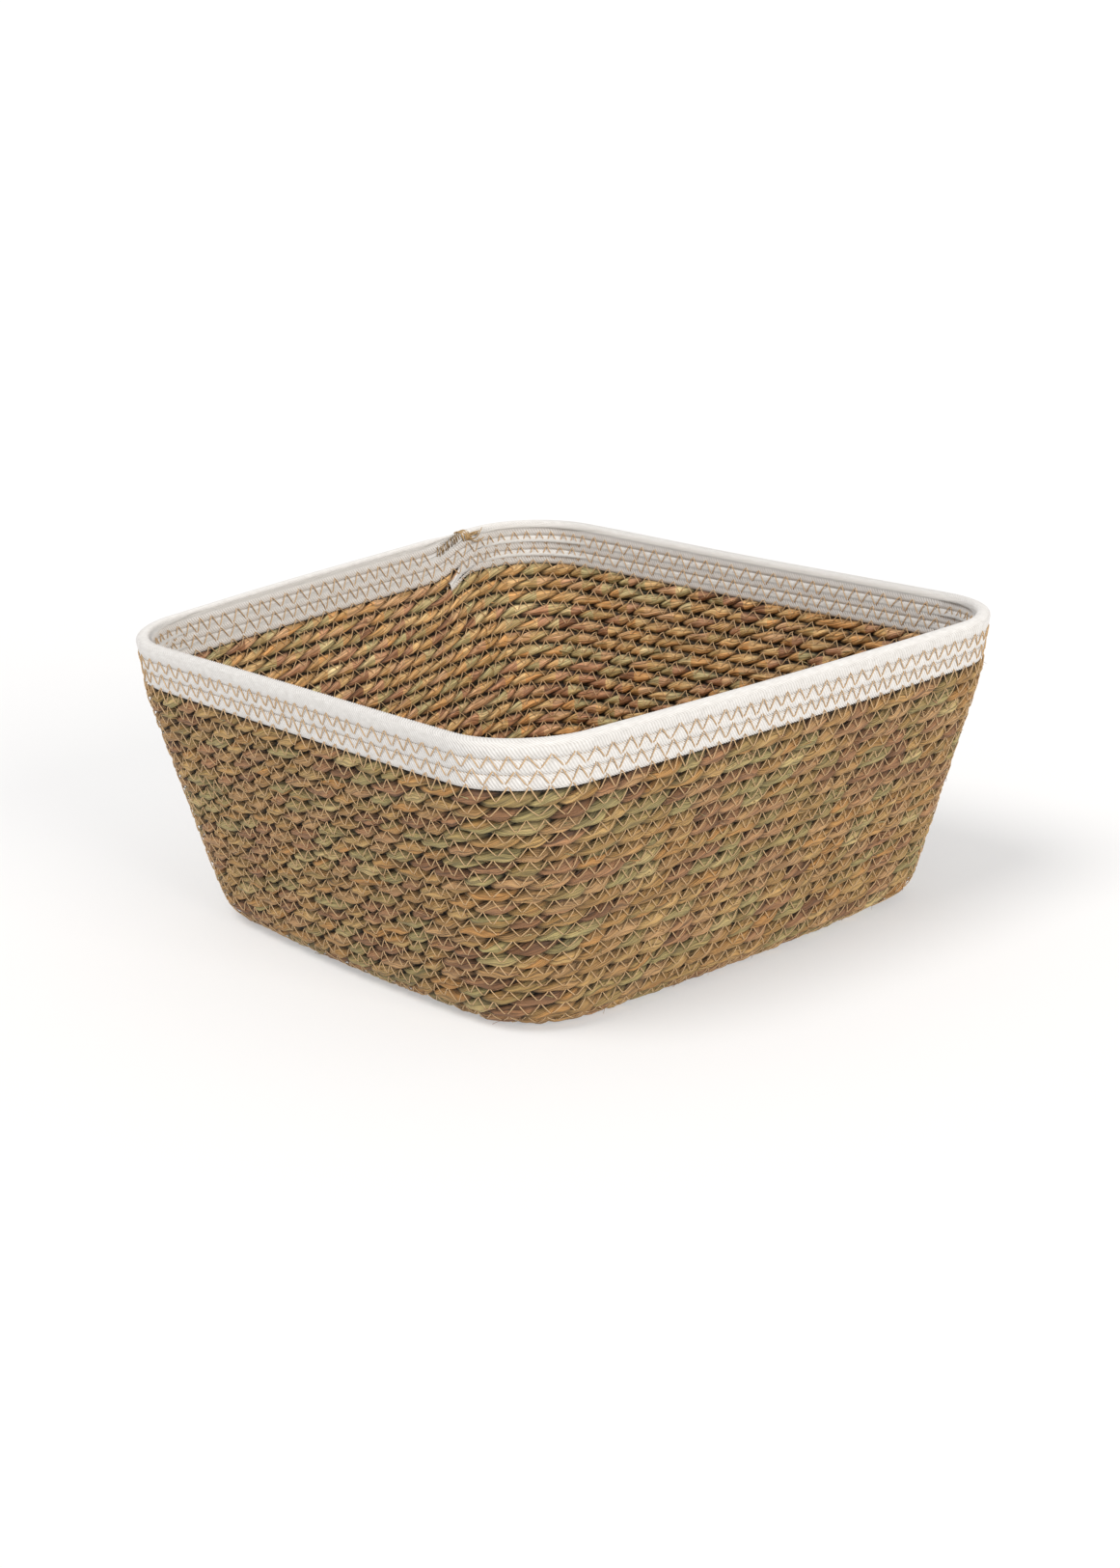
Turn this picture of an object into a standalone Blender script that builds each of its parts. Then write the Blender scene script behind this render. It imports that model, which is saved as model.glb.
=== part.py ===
"""Seagrass storage basket, sewn from one coiled rope with a white corded rim.

One seagrass rope starts at the middle of the base, coils outward as a flat
rounded square, turns up round the heel and climbs the walls.  Its end is
spliced to a white cord that makes the last three courses.  Every course of
the wall is a separate node here, so that the basket comes apart course by
course; on the real basket the rope runs on from one course into the next and
is held by zigzag stitching in the grooves between the courses.

Places on the basket are given by a turn, counted along the spiral from the
middle of the base, and a share of one turn, counted clockwise from the splice.
Units are metres, +Z is up, and the basket stands on Z = 0 with its box centred
on the Z axis.
"""

import math

import bmesh
import bpy
from mathutils import Matrix, Vector

# Outside sizes.  Widths are along X and depths along Y, between the straight
# parts of the sides, which bow outward a little more at their middles.
RIM_WIDTH = 0.320
RIM_DEPTH = 0.319
BASE_WIDTH = 0.247
BASE_DEPTH = 0.260
HEIGHT = 0.145
RIM_CORNER_RADIUS = 0.043
BASE_CORNER_RADIUS = 0.030
RIM_BOW = 0.0043
BASE_BOW = 0.0067
HEEL_RADIUS = 0.016
BASE_DROP = 0.0001  # the flat coil stands this far below the heel, and carries the basket

# Rope and cord, and how many turns of them each part of the basket has.
ROPE_THICKNESS = 0.0070
CORD_THICKNESS = 0.0070
CORD_COURSE_HEIGHT = 0.0074
BASE_TURNS = 15
WALL_COURSES = 19
RIM_COURSES = 3
COURSE_GAP = 0.0003
CORE_BEND_RADIUS = 0.0080
COIL_START_TURN = 0.27

# Stitching thread along the rim, and the dense tack and wraps that end it.
THREAD_RADIUS = 0.0006
THREAD_SINK = 0.0011
TACK_LENGTH = 0.018
TACK_HEIGHT = 0.0046
WRAP_LENGTH = 0.0050
TACK_THICKNESS = 0.0010
WRAP_BELOW = 0.75  # the wrap reaches this far below the top course, in courses
WRAP_ABOVE = 0.20
PLATE_STEPS = 3

# The basket is shaped by hand: it is a little out of square, and its base
# sits a little off the middle of its rim.
SKEW_WIDTH_BY_DEPTH = 0.24
SKEW_DEPTH_BY_WIDTH = 0.38
BASE_OFFSET_X = 0.0026
BASE_OFFSET_Y = 0.0027
BOW_POWER = 4  # keeps the bow of a side out of the sides next to it

# A turn is shared out between four sides and four corners.  The spiral starts
# and ends at the splice, and the courses shift by one just before it, where
# the rope's tapered end and the cord's tapered start lie over each other.
SIDE_SHARE = 0.20
CORNER_SHARE = 0.05
SPLICE_SHARE = 0.193
SHIFT_SHARE = 0.030
LOW_SHIFT_SHARE = 0.50
OVERLAP_SHARE = 0.020
TIP_WIDTH = 0.35
TIP_THINNING = 0.5
SIDE_STEPS = 3
CORNER_STEPS = 4
SHIFT_STEPS = 3
SHORTEST_STEP = 0.0015
SLOPE_STEP = 1.0e-4
SHARP_ANGLE = math.radians(40.0)

# Sizes of the rope's centre line, which follow from the sizes above.
ALL_TURNS = BASE_TURNS + WALL_COURSES + RIM_COURSES
FLOOR_LINE = ROPE_THICKNESS / 2
RIM_LINE = HEIGHT - CORD_COURSE_HEIGHT / 2
FOOT_HALF_WIDTH = (BASE_WIDTH - ROPE_THICKNESS) / 2
RIM_HALF_WIDTH = (RIM_WIDTH - CORD_THICKNESS) / 2
WALL_LEAN = math.atan2(RIM_HALF_WIDTH - FOOT_HALF_WIDTH, RIM_LINE - FLOOR_LINE)
HEEL_TURN = math.pi / 2 - WALL_LEAN
HEEL_TANGENT = HEEL_RADIUS * math.tan(HEEL_TURN / 2)
FLAT_LENGTH = FOOT_HALF_WIDTH - HEEL_TANGENT
HEEL_LENGTH = HEEL_RADIUS * HEEL_TURN
WALL_LENGTH = (RIM_LINE - FLOOR_LINE) / math.cos(WALL_LEAN) - HEEL_TANGENT
PROFILE_LENGTH = FLAT_LENGTH + HEEL_LENGTH + WALL_LENGTH
CORD_TURNS = RIM_COURSES - 0.5
CORD_BAND = CORD_TURNS * CORD_COURSE_HEIGHT
ROPE_BAND = PROFILE_LENGTH - CORD_BAND - FLAT_LENGTH
RIM_EDGE = PROFILE_LENGTH + CORD_COURSE_HEIGHT / 2

# Corners of a section: across the course, then through the wall.
COURSE_SECTION = ((1.0, 0.0), (0.5, 1.0), (-0.5, 1.0), (-1.0, 0.0), (-0.5, -1.0), (0.5, -1.0))
THREAD_SECTION = ((0.0, 1.0), (-0.87, -0.5), (0.87, -0.5))
PLATE_SECTION = ((1.0, 1.0), (-1.0, 1.0), (-1.0, -1.0), (1.0, -1.0))

# Colour and roughness of each material.
SEAGRASS = ("seagrass", (0.42, 0.29, 0.13, 1.0), 0.85)
WHITE_CORD = ("white_cord", (0.83, 0.82, 0.80, 1.0), 0.70)
TAN_THREAD = ("tan_thread", (0.55, 0.38, 0.20, 1.0), 0.60)


def clear_scene():
    """Remove every object that the file holds."""
    for old in list(bpy.data.objects):
        bpy.data.objects.remove(old, do_unlink=True)


def mix(start, end, share):
    """Return the value at a share of the way from start to end."""
    return start + (end - start) * share


def smooth(share):
    """Return an eased 0 to 1 for a share, held at 0 and 1 outside it."""
    share = min(max(share, 0.0), 1.0)
    return share * share * (3.0 - 2.0 * share)


def wall_profile(along):
    """Return the half width and the height of the centre line at a profile length."""
    if along <= FLAT_LENGTH:
        return along, FLOOR_LINE
    turn = min((along - FLAT_LENGTH) / HEEL_RADIUS, HEEL_TURN)
    straight = max(along - FLAT_LENGTH - HEEL_LENGTH, 0.0)
    half_width = FLAT_LENGTH + HEEL_RADIUS * math.sin(turn) + straight * math.sin(WALL_LEAN)
    height = FLOOR_LINE + HEEL_RADIUS * (1.0 - math.cos(turn)) + straight * math.cos(WALL_LEAN)
    return half_width, height


def corner_radius(half_width, level):
    """Return the plan radius of the corners at a half width and a share of the height."""
    base_radius = BASE_CORNER_RADIUS - ROPE_THICKNESS / 2
    if level > 0.0:
        return mix(base_radius, RIM_CORNER_RADIUS - CORD_THICKNESS / 2, level)
    if half_width <= CORE_BEND_RADIUS:
        return half_width
    out = (half_width - CORE_BEND_RADIUS) / (FLAT_LENGTH - CORE_BEND_RADIUS)
    return mix(CORE_BEND_RADIUS, base_radius, out)


def outline_point(share, half_width, half_depth, radius):
    """Return X and Y on a rounded rectangle, clockwise from the foot of its left side."""
    quarter = SIDE_SHARE + CORNER_SHARE
    side = int(share / quarter) % 4
    inside = share - quarter * side
    across, along = (half_width, half_depth) if side % 2 == 0 else (half_depth, half_width)
    if inside <= SIDE_SHARE:
        x, y = -across, mix(radius - along, along - radius, inside / SIDE_SHARE)
    else:
        angle = (inside - SIDE_SHARE) / CORNER_SHARE * math.pi / 2
        x = radius - across - radius * math.cos(angle)
        y = along - radius + radius * math.sin(angle)
    for _ in range(side):
        x, y = y, -x
    return x, y


def basket_point(along, share):
    """Return the centre line's point at a profile length and a share of a turn."""
    half_width, height = wall_profile(along)
    level = (height - FLOOR_LINE) / (RIM_LINE - FLOOR_LINE)
    half_depth = half_width + mix(BASE_DEPTH - BASE_WIDTH, RIM_DEPTH - RIM_WIDTH, level) / 2
    radius = corner_radius(half_width, level)
    x, y = outline_point((SPLICE_SHARE + share) % 1.0, half_width, half_depth, radius)
    bow = mix(BASE_BOW, RIM_BOW, level) * min(along / FLAT_LENGTH, 1.0)
    across, down = x / half_width, y / half_depth
    x += math.copysign(bow, x) * max(0.0, 1.0 - down ** 2) * across ** BOW_POWER
    y += math.copysign(bow, y) * max(0.0, 1.0 - across ** 2) * down ** BOW_POWER
    skewed_x = x + SKEW_WIDTH_BY_DEPTH * x * y + BASE_OFFSET_X * (1.0 - level)
    skewed_y = y + SKEW_DEPTH_BY_WIDTH * x * y + BASE_OFFSET_Y * (1.0 - level)
    return Vector((skewed_x, skewed_y, height))


def profile_length(turn, share):
    """Return how far up the profile a turn of the spiral lies, read at a share of a turn.

    The rim is level although the courses climb, so the wall's courses are a
    little closer together where there is one more of them.  They ease back over
    a long stretch low on the wall and over a short one at the rim.
    """
    if turn <= BASE_TURNS:
        return FLAT_LENGTH * turn / BASE_TURNS
    up_wall = min((turn - BASE_TURNS) / (WALL_COURSES - 1), 1.0)
    stretch = LOW_SHIFT_SHARE * (SHIFT_SHARE / LOW_SHIFT_SHARE) ** up_wall
    shifted = smooth((share - (1.0 - stretch)) / stretch)
    courses_here = ALL_TURNS - 1 + share * (1.0 - shifted)
    below_rim = courses_here - turn
    if below_rim <= CORD_TURNS:
        return min(PROFILE_LENGTH - CORD_COURSE_HEIGHT * below_rim, RIM_EDGE)
    down = (below_rim - CORD_TURNS) / (courses_here - CORD_TURNS - BASE_TURNS)
    return PROFILE_LENGTH - CORD_BAND - ROPE_BAND * down


def frame_at(along, share):
    """Return the point, the direction along the course, up the wall and outward."""
    point = basket_point(along, share)
    forward = basket_point(along, share + SLOPE_STEP) - basket_point(along, share - SLOPE_STEP)
    forward.normalize()
    above = basket_point(along + SLOPE_STEP, share) - point
    outward = above.cross(forward).normalized()
    return point, forward, forward.cross(outward), outward


def course_station(lower_turn, upper_turn, share, thickness):
    """Return a section's centre, directions and half sizes between two turns of the spiral."""
    lower = profile_length(lower_turn, share)
    upper = profile_length(upper_turn, share)
    point, forward, up_wall, outward = frame_at((lower + upper) / 2, share)
    return point, forward, up_wall, outward, (upper - lower - COURSE_GAP) / 2, thickness / 2


def turn_shares(start=0.0, end=1.0):
    """Return the shares of a turn at which every course has a section."""
    quarter = SIDE_SHARE + CORNER_SHARE
    places = {0.0, 1.0}
    for side in range(4):
        foot = quarter * side - SPLICE_SHARE
        for step in range(SIDE_STEPS):
            places.add(round((foot + SIDE_SHARE * step / SIDE_STEPS) % 1.0, 6))
        for step in range(CORNER_STEPS):
            places.add(round((foot + SIDE_SHARE + CORNER_SHARE * step / CORNER_STEPS) % 1.0, 6))
    for step in range(SHIFT_STEPS):
        places.add(round(1.0 - SHIFT_SHARE * (1.0 - step / SHIFT_STEPS), 6))
    inside = [place for place in sorted(places) if start < place < end]
    return [start] + inside + [end]


def thinned(stations):
    """Return the stations without those that lie too close behind the one before."""
    kept = [stations[0]]
    for place in stations[1:-1]:
        if (place[0] - kept[-1][0]).length > SHORTEST_STEP:
            kept.append(place)
    if (stations[-1][0] - kept[-1][0]).length <= SHORTEST_STEP and len(kept) > 1:
        kept.pop()
    return kept + [stations[-1]]


def trimmed(stations):
    """Return the stations with both ends pulled in by half a gap, where courses butt."""
    first, last = list(stations[0]), list(stations[-1])
    first[0] = first[0] + first[1] * COURSE_GAP / 2
    last[0] = last[0] - last[1] * COURSE_GAP / 2
    return [first] + stations[1:-1] + [last]


def place_section(face, section, place):
    """Move a face's corners to a section's corners at a station."""
    point, _, up_wall, outward, half_width, half_thickness = place
    for loop, (across, through) in zip(face.loops, section):
        loop.vert.co = point + up_wall * (across * half_width) + outward * (through * half_thickness)


def swept_mesh(name, section, stations):
    """Return a closed mesh made by extruding a section through its stations."""
    bm = bmesh.new()
    bmesh.ops.create_circle(bm, cap_ends=True, segments=len(section), radius=1.0)
    face = bm.faces[:][0]
    place_section(face, section, stations[0])
    for number, place in enumerate(stations[1:]):
        grown = bmesh.ops.extrude_face_region(bm, geom=[face])["geom"]
        if number:
            bmesh.ops.delete(bm, geom=[face], context="FACES_ONLY")
        face = next(item for item in grown if isinstance(item, bmesh.types.BMFace))
        place_section(face, section, place)
    bmesh.ops.recalc_face_normals(bm, faces=bm.faces[:])
    mesh = bpy.data.meshes.new(name)
    bm.to_mesh(mesh)
    bm.free()
    mesh.shade_smooth()
    mesh.set_sharp_from_angle(angle=SHARP_ANGLE)
    return mesh


def material(finish):
    """Return a new Principled material with a finish's colour and roughness."""
    name, colour, roughness = finish
    made = bpy.data.materials.new(name)
    made.use_nodes = True
    shader = made.node_tree.nodes["Principled BSDF"]
    shader.inputs["Base Color"].default_value = colour
    shader.inputs["Roughness"].default_value = roughness
    made.diffuse_color = colour
    return made


def add_node(name, section, stations, finish):
    """Add one sub-part, swept through its stations, and return its object."""
    node = bpy.data.objects.new(name, swept_mesh(name, section, stations))
    node.data.materials.append(material(finish))
    bpy.context.scene.collection.objects.link(node)
    return node


def base_coil():
    """Add the flat coil of seagrass rope that is the base."""
    stations = []
    for turn in range(BASE_TURNS):
        start = COIL_START_TURN if turn == 0 else 0.0
        for share in turn_shares(start)[:-1 if turn < BASE_TURNS - 1 else None]:
            around = turn + share
            stations.append(course_station(around - 0.5, around + 0.5, share, ROPE_THICKNESS))
    coil = add_node("base_coil", COURSE_SECTION, trimmed(thinned(stations)), SEAGRASS)
    coil.data.transform(Matrix.Translation((0.0, 0.0, -BASE_DROP)))
    return coil


def splice_rise(share):
    """Return how far the cord's start has lifted the rope's end, in courses."""
    return (1.0 - TIP_WIDTH) * max(0.0, (share - 1.0 + OVERLAP_SHARE) / OVERLAP_SHARE)


def wall_course(number):
    """Add one course of seagrass rope; the last one tapers to the rope's end."""
    turn = BASE_TURNS + number - 1
    stations = []
    for share in turn_shares():
        rise = splice_rise(share) if number == WALL_COURSES else 0.0
        thickness = ROPE_THICKNESS * (1.0 - rise * TIP_THINNING)
        lower, upper = turn + share - 0.5 + rise, turn + share + 0.5
        stations.append(course_station(lower, upper, share, thickness))
    return add_node("wall_course_%02d" % number, COURSE_SECTION, trimmed(stations), SEAGRASS)


def cord_tail():
    """Return the stations of the cord's tapered start, which lies under the rope's end."""
    turn = BASE_TURNS + WALL_COURSES - 1
    stations = []
    for share in (1.0 - OVERLAP_SHARE / 2, 1.0):
        lower = turn + share - 0.5
        thickness = CORD_THICKNESS * mix(TIP_THINNING, 1.0, splice_rise(share))
        stations.append(course_station(lower, lower + splice_rise(share), share, thickness))
    return stations


def rim_course(number):
    """Add one course of white cord; the last one ends where the course below rises.

    The first one starts with the tail, whose last section takes the place of its own first.
    """
    turn = BASE_TURNS + WALL_COURSES + number - 1
    end = 1.0 if number < RIM_COURSES else 1.0 - SHIFT_SHARE / SHIFT_STEPS
    shares = turn_shares(0.0, end)
    stations = []
    if number == 1:
        stations = cord_tail()
        shares = shares[1:]
    for share in shares:
        lower, upper = turn + share - 0.5, turn + share + 0.5
        stations.append(course_station(lower, upper, share, CORD_THICKNESS))
    return add_node("rim_cord_course_%d" % number, COURSE_SECTION, trimmed(stations), WHITE_CORD)


def rim_thread(name, outside):
    """Add the thread that runs round the rim's seams on one face of the wall."""
    side = 1.0 if outside else -1.0
    first = BASE_TURNS + WALL_COURSES - 0.5
    stations = []
    for turn in range(RIM_COURSES):
        end = 1.0 if turn < RIM_COURSES - 1 else 1.0 - SHIFT_SHARE
        for share in turn_shares(0.0, end)[:None if turn == RIM_COURSES - 1 else -1]:
            along = profile_length(first + turn + share, share)
            point, forward, up_wall, outward = frame_at(along, share)
            point += outward * side * (CORD_THICKNESS / 2 - THREAD_SINK)
            stations.append((point, forward, up_wall, outward * side, THREAD_RADIUS, THREAD_RADIUS))
    return add_node(name, THREAD_SECTION, stations, TAN_THREAD)


def inside_plate(name, start, end, lower_turn, upper_turn):
    """Add a flat run of dense stitches that lies on the inside face of the rim."""
    stations = []
    for step in range(PLATE_STEPS + 1):
        share = mix(start, end, step / PLATE_STEPS)
        place = course_station(lower_turn(share), upper_turn(share), share, TACK_THICKNESS)
        lift = CORD_THICKNESS / 2 + COURSE_GAP + TACK_THICKNESS / 2
        stations.append((place[0] - place[3] * lift,) + place[1:])
    return add_node(name, PLATE_SECTION, stations, TAN_THREAD)


def rim_tack():
    """Add the bar of dense stitches on the top seam, just before the cord's end."""
    around_rim = 2.0 * (RIM_WIDTH + RIM_DEPTH)
    end = 1.0 - SHIFT_SHARE - COURSE_GAP / around_rim
    seam = BASE_TURNS + WALL_COURSES + RIM_COURSES - 1.5
    half_height = TACK_HEIGHT / CORD_COURSE_HEIGHT / 2
    return inside_plate("rim_bar_tack", end - TACK_LENGTH / around_rim, end,
                        lambda share: seam + share - half_height,
                        lambda share: seam + share + half_height)


def rim_wrap():
    """Add the wrapped stitches that hold the cord's tapered end to the rim."""
    around_rim = 2.0 * (RIM_WIDTH + RIM_DEPTH)
    start = 1.0 - SHIFT_SHARE + COURSE_GAP / around_rim
    top = BASE_TURNS + WALL_COURSES + RIM_COURSES - 1
    return inside_plate("rim_end_wrap", start, start + WRAP_LENGTH / around_rim,
                        lambda share: top + share - WRAP_BELOW,
                        lambda share: top + share + WRAP_ABOVE)


def centre_on_origin(nodes):
    """Move every mesh so that the box of them all is centred on the Z axis and stands on Z = 0."""
    corners = [vertex.co for node in nodes for vertex in node.data.vertices]
    middle = [(min(c[axis] for c in corners) + max(c[axis] for c in corners)) / 2 for axis in (0, 1)]
    lowest = min(corner.z for corner in corners)
    for node in nodes:
        node.data.transform(Matrix.Translation((-middle[0], -middle[1], -lowest)))


def main():
    """Build the basket."""
    clear_scene()
    nodes = [base_coil()]
    nodes += [wall_course(number) for number in range(1, WALL_COURSES + 1)]
    nodes += [rim_course(number) for number in range(1, RIM_COURSES + 1)]
    nodes += [rim_thread("rim_thread_outside", True), rim_thread("rim_thread_inside", False)]
    nodes += [rim_tack(), rim_wrap()]
    centre_on_origin(nodes)


main()
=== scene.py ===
"""Looks of the seagrass storage basket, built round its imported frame.

The basket is sewn from one twisted seagrass rope, finished with three courses of
white paper cord.  Every course lies on the same spiral as its frame node: a turn is
counted from the middle of the base, and a share of a turn clockwise from the splice.
Units are metres, +Z is up, and the basket stands on Z = 0.
"""

import logging
import math
from dataclasses import dataclass, field
from enum import Enum

import bmesh
import bpy
import numpy as np
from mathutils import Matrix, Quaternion, Vector


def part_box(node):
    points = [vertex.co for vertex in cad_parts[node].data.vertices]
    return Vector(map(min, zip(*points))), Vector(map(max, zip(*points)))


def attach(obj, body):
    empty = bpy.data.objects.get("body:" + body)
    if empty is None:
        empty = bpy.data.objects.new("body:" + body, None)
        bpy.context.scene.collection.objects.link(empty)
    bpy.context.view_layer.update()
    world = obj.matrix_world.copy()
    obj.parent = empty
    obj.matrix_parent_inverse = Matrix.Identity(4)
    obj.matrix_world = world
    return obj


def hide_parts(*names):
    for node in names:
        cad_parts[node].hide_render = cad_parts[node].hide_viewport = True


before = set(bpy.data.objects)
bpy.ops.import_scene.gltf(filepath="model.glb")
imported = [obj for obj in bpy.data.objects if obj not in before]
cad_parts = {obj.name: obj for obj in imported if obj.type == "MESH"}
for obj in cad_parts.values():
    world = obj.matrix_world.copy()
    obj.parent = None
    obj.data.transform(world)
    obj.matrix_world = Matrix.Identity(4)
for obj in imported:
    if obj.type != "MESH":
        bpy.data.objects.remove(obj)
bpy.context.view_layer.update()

BODY = "root"
LOG = logging.getLogger("basket")

# A tube is its rings' points, their places in the pattern, and a number for each ring.
Tube = tuple[np.ndarray, ...]


class Face(Enum):
    """The two faces of the wall, as the sign of the outward direction."""

    OUTSIDE = 1.0
    INSIDE = -1.0


class Slot(Enum):
    """The material slots."""

    SEAGRASS = "seagrass"
    CORD = "white_cord"
    THREAD = "tan_thread"


def mix(start: np.ndarray, end: np.ndarray, share: np.ndarray) -> np.ndarray:
    """Return the value at a share of the way from start to end."""
    return start + (end - start) * share


def ease(share: np.ndarray) -> np.ndarray:
    """Return an eased 0 to 1 for a share, held at 0 and 1 outside it."""
    held = np.clip(share, 0.0, 1.0)
    return held * held * (3.0 - 2.0 * held)


def wander(along: np.ndarray, wavelength: float, seed: int) -> np.ndarray:
    """Return a smooth irregular wave along a length.

    Args:
        along: Distances in metres.
        wavelength: The usual distance between two crests.
        seed: Picks the wave; the same seed gives the same wave.

    Returns:
        Values between about -1 and 1, one for each distance.
    """
    draws = np.random.default_rng(seed).uniform(0.0, 2.0 * math.pi, 4)
    turns = 2.0 * math.pi * np.asarray(along) / wavelength
    waves = sum(np.sin(turns * rate + draws[k]) for k, rate in enumerate((0.61, 1.0, 1.53, 2.27)))
    return waves / 2.6


def running_length(points: np.ndarray) -> np.ndarray:
    """Return how far along a line of points each of them lies."""
    steps = np.linalg.norm(np.diff(points, axis=0), axis=1)
    return np.concatenate([[0.0], np.cumsum(steps)])


def unit(vectors: np.ndarray) -> np.ndarray:
    """Return vectors brought to a length of 1."""
    return vectors / np.maximum(np.linalg.norm(vectors, axis=-1, keepdims=True), 1.0e-9)


def full(wave: np.ndarray, fullness: float) -> np.ndarray:
    """Return a sine or cosine swelled towards a square; a fullness of 2 leaves it as it is."""
    return np.copysign(np.abs(wave) ** (2.0 / fullness), wave)


def ring_angles(sides: int) -> np.ndarray:
    """Return the angles of a ring's points, whose last one closes the ring."""
    return np.linspace(-math.pi, math.pi, sides + 1)


def pattern(lengths: np.ndarray, angles: np.ndarray) -> np.ndarray:
    """Return the places in the pattern, along and around, of rings at lengths."""
    along, around = np.broadcast_arrays(lengths[:, None], angles[None, :] / (2.0 * math.pi))
    return np.stack([along, around], -1)


@dataclass(frozen=True)
class BasketForm:
    """The basket's shape as the frame has it: where each turn of the spiral lies."""

    rim_width: float = 0.320
    rim_depth: float = 0.319
    base_width: float = 0.247
    base_depth: float = 0.260
    height: float = 0.145
    rim_corner: float = 0.043
    base_corner: float = 0.030
    rim_bow: float = 0.0043
    base_bow: float = 0.0067
    bow_power: int = 4
    heel_radius: float = 0.016
    rope: float = 0.0070
    cord: float = 0.0070
    cord_course: float = 0.0074
    base_turns: int = 15
    wall_courses: int = 19
    rim_courses: int = 3
    core_bend: float = 0.0080
    skew_x: float = 0.24
    skew_y: float = 0.38
    base_x: float = 0.0026
    base_y: float = 0.0027
    side_share: float = 0.20
    corner_share: float = 0.05
    splice_share: float = 0.193
    shift_share: float = 0.030
    low_shift: float = 0.50
    overlap_share: float = 0.020
    base_drop: float = 0.0001

    @property
    def rope_end(self) -> int:
        """Return the turn at which the rope ends and the cord takes over."""
        return self.base_turns + self.wall_courses

    @property
    def all_turns(self) -> int:
        """Return the number of turns in the whole spiral."""
        return self.rope_end + self.rim_courses

    @property
    def rim_round(self) -> float:
        """Return about how far it is round the rim."""
        return 2.0 * (self.rim_width + self.rim_depth)

    @property
    def top(self) -> float:
        """Return the profile's length up to the rim's upper edge."""
        return self.profile_end + self.cord_course / 2

    @property
    def floor_line(self) -> float:
        """Return the height of the base rope's middle."""
        return self.rope / 2

    @property
    def rim_line(self) -> float:
        """Return the height of the top cord's middle."""
        return self.height - self.cord_course / 2

    @property
    def foot(self) -> float:
        """Return the half width at which the wall's line meets the floor line."""
        return (self.base_width - self.rope) / 2

    @property
    def lean(self) -> float:
        """Return the angle by which the wall leans outward."""
        rim = (self.rim_width - self.cord) / 2
        return math.atan2(rim - self.foot, self.rim_line - self.floor_line)

    @property
    def heel_turn(self) -> float:
        """Return the angle that the heel turns through."""
        return math.pi / 2 - self.lean

    @property
    def flat_length(self) -> float:
        """Return how far the profile runs flat before the heel."""
        return self.foot - self.heel_radius * math.tan(self.heel_turn / 2)

    @property
    def profile_end(self) -> float:
        """Return the profile's length up to the middle of the top cord."""
        wall = (self.rim_line - self.floor_line) / math.cos(self.lean)
        wall -= self.heel_radius * math.tan(self.heel_turn / 2)
        return self.flat_length + self.heel_radius * self.heel_turn + wall

    def profile(self, along: np.ndarray) -> tuple[np.ndarray, np.ndarray]:
        """Return the half width and height at lengths up the profile.

        Args:
            along: Lengths up the profile.

        Returns:
            The half widths, and the heights above the floor.
        """
        turn = np.clip((along - self.flat_length) / self.heel_radius, 0.0, self.heel_turn)
        heel_end = self.flat_length + self.heel_radius * self.heel_turn
        straight = np.maximum(along - heel_end, 0.0)
        reach = self.heel_radius * np.sin(turn) + straight * math.sin(self.lean)
        rise = self.heel_radius * (1.0 - np.cos(turn)) + straight * math.cos(self.lean)
        flat = np.minimum(along, self.flat_length)
        return flat + reach, self.floor_line + rise

    def corner_radius(self, half_width: np.ndarray, level: np.ndarray) -> np.ndarray:
        """Return the plan radius of the corners at a half width and a share of the height.

        Args:
            half_width: Half the basket's width there.
            level: The share of the height, 0 on the base.

        Returns:
            The radii.
        """
        base = self.base_corner - self.rope / 2
        out = (half_width - self.core_bend) / (self.flat_length - self.core_bend)
        flat = np.where(half_width <= self.core_bend, half_width, mix(self.core_bend, base, out))
        return np.where(level > 0.0, mix(base, self.rim_corner - self.cord / 2, level), flat)

    def point(self, along: np.ndarray, share: np.ndarray) -> np.ndarray:
        """Return points on the middle of the wall.

        Args:
            along: Lengths up the profile.
            share: Shares of a turn.

        Returns:
            An array of X, Y and Z, before the basket is centred on its box.
        """
        along, share = np.broadcast_arrays(np.asarray(along, float), np.asarray(share, float))
        wide, height = self.profile(along)
        level = (height - self.floor_line) / (self.rim_line - self.floor_line)
        base_extra = self.base_depth - self.base_width
        deep = wide + mix(base_extra, self.rim_depth - self.rim_width, level) / 2
        radius = self.corner_radius(wide, level)
        quarter = self.side_share + self.corner_share
        place = (self.splice_share + share) % 1.0
        side = np.floor(place / quarter).astype(int) % 4
        inside = place - quarter * np.floor(place / quarter)
        across = np.where(side % 2 == 0, wide, deep)
        reach = np.where(side % 2 == 0, deep, wide)
        run = np.clip(inside / self.side_share, 0.0, 1.0)
        angle = np.clip((inside - self.side_share) / self.corner_share, 0.0, 1.0) * math.pi / 2
        straight = inside <= self.side_share
        x = np.where(straight, -across, radius - across - radius * np.cos(angle))
        y = np.where(straight, mix(radius - reach, reach - radius, run),
                     reach - radius + radius * np.sin(angle))
        x, y = np.choose(side, [x, y, -x, -y]), np.choose(side, [y, -x, -y, x])
        bow = mix(self.base_bow, self.rim_bow, level) * np.minimum(along / self.flat_length, 1.0)
        over, down = x / wide, y / deep
        x = x + np.copysign(bow, x) * np.maximum(0.0, 1.0 - down ** 2) * over ** self.bow_power
        y = y + np.copysign(bow, y) * np.maximum(0.0, 1.0 - over ** 2) * down ** self.bow_power
        skewed_x = x + self.skew_x * x * y + self.base_x * (1.0 - level)
        skewed_y = y + self.skew_y * x * y + self.base_y * (1.0 - level)
        return np.stack([skewed_x, skewed_y, height + self.base_drop], -1)

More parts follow.
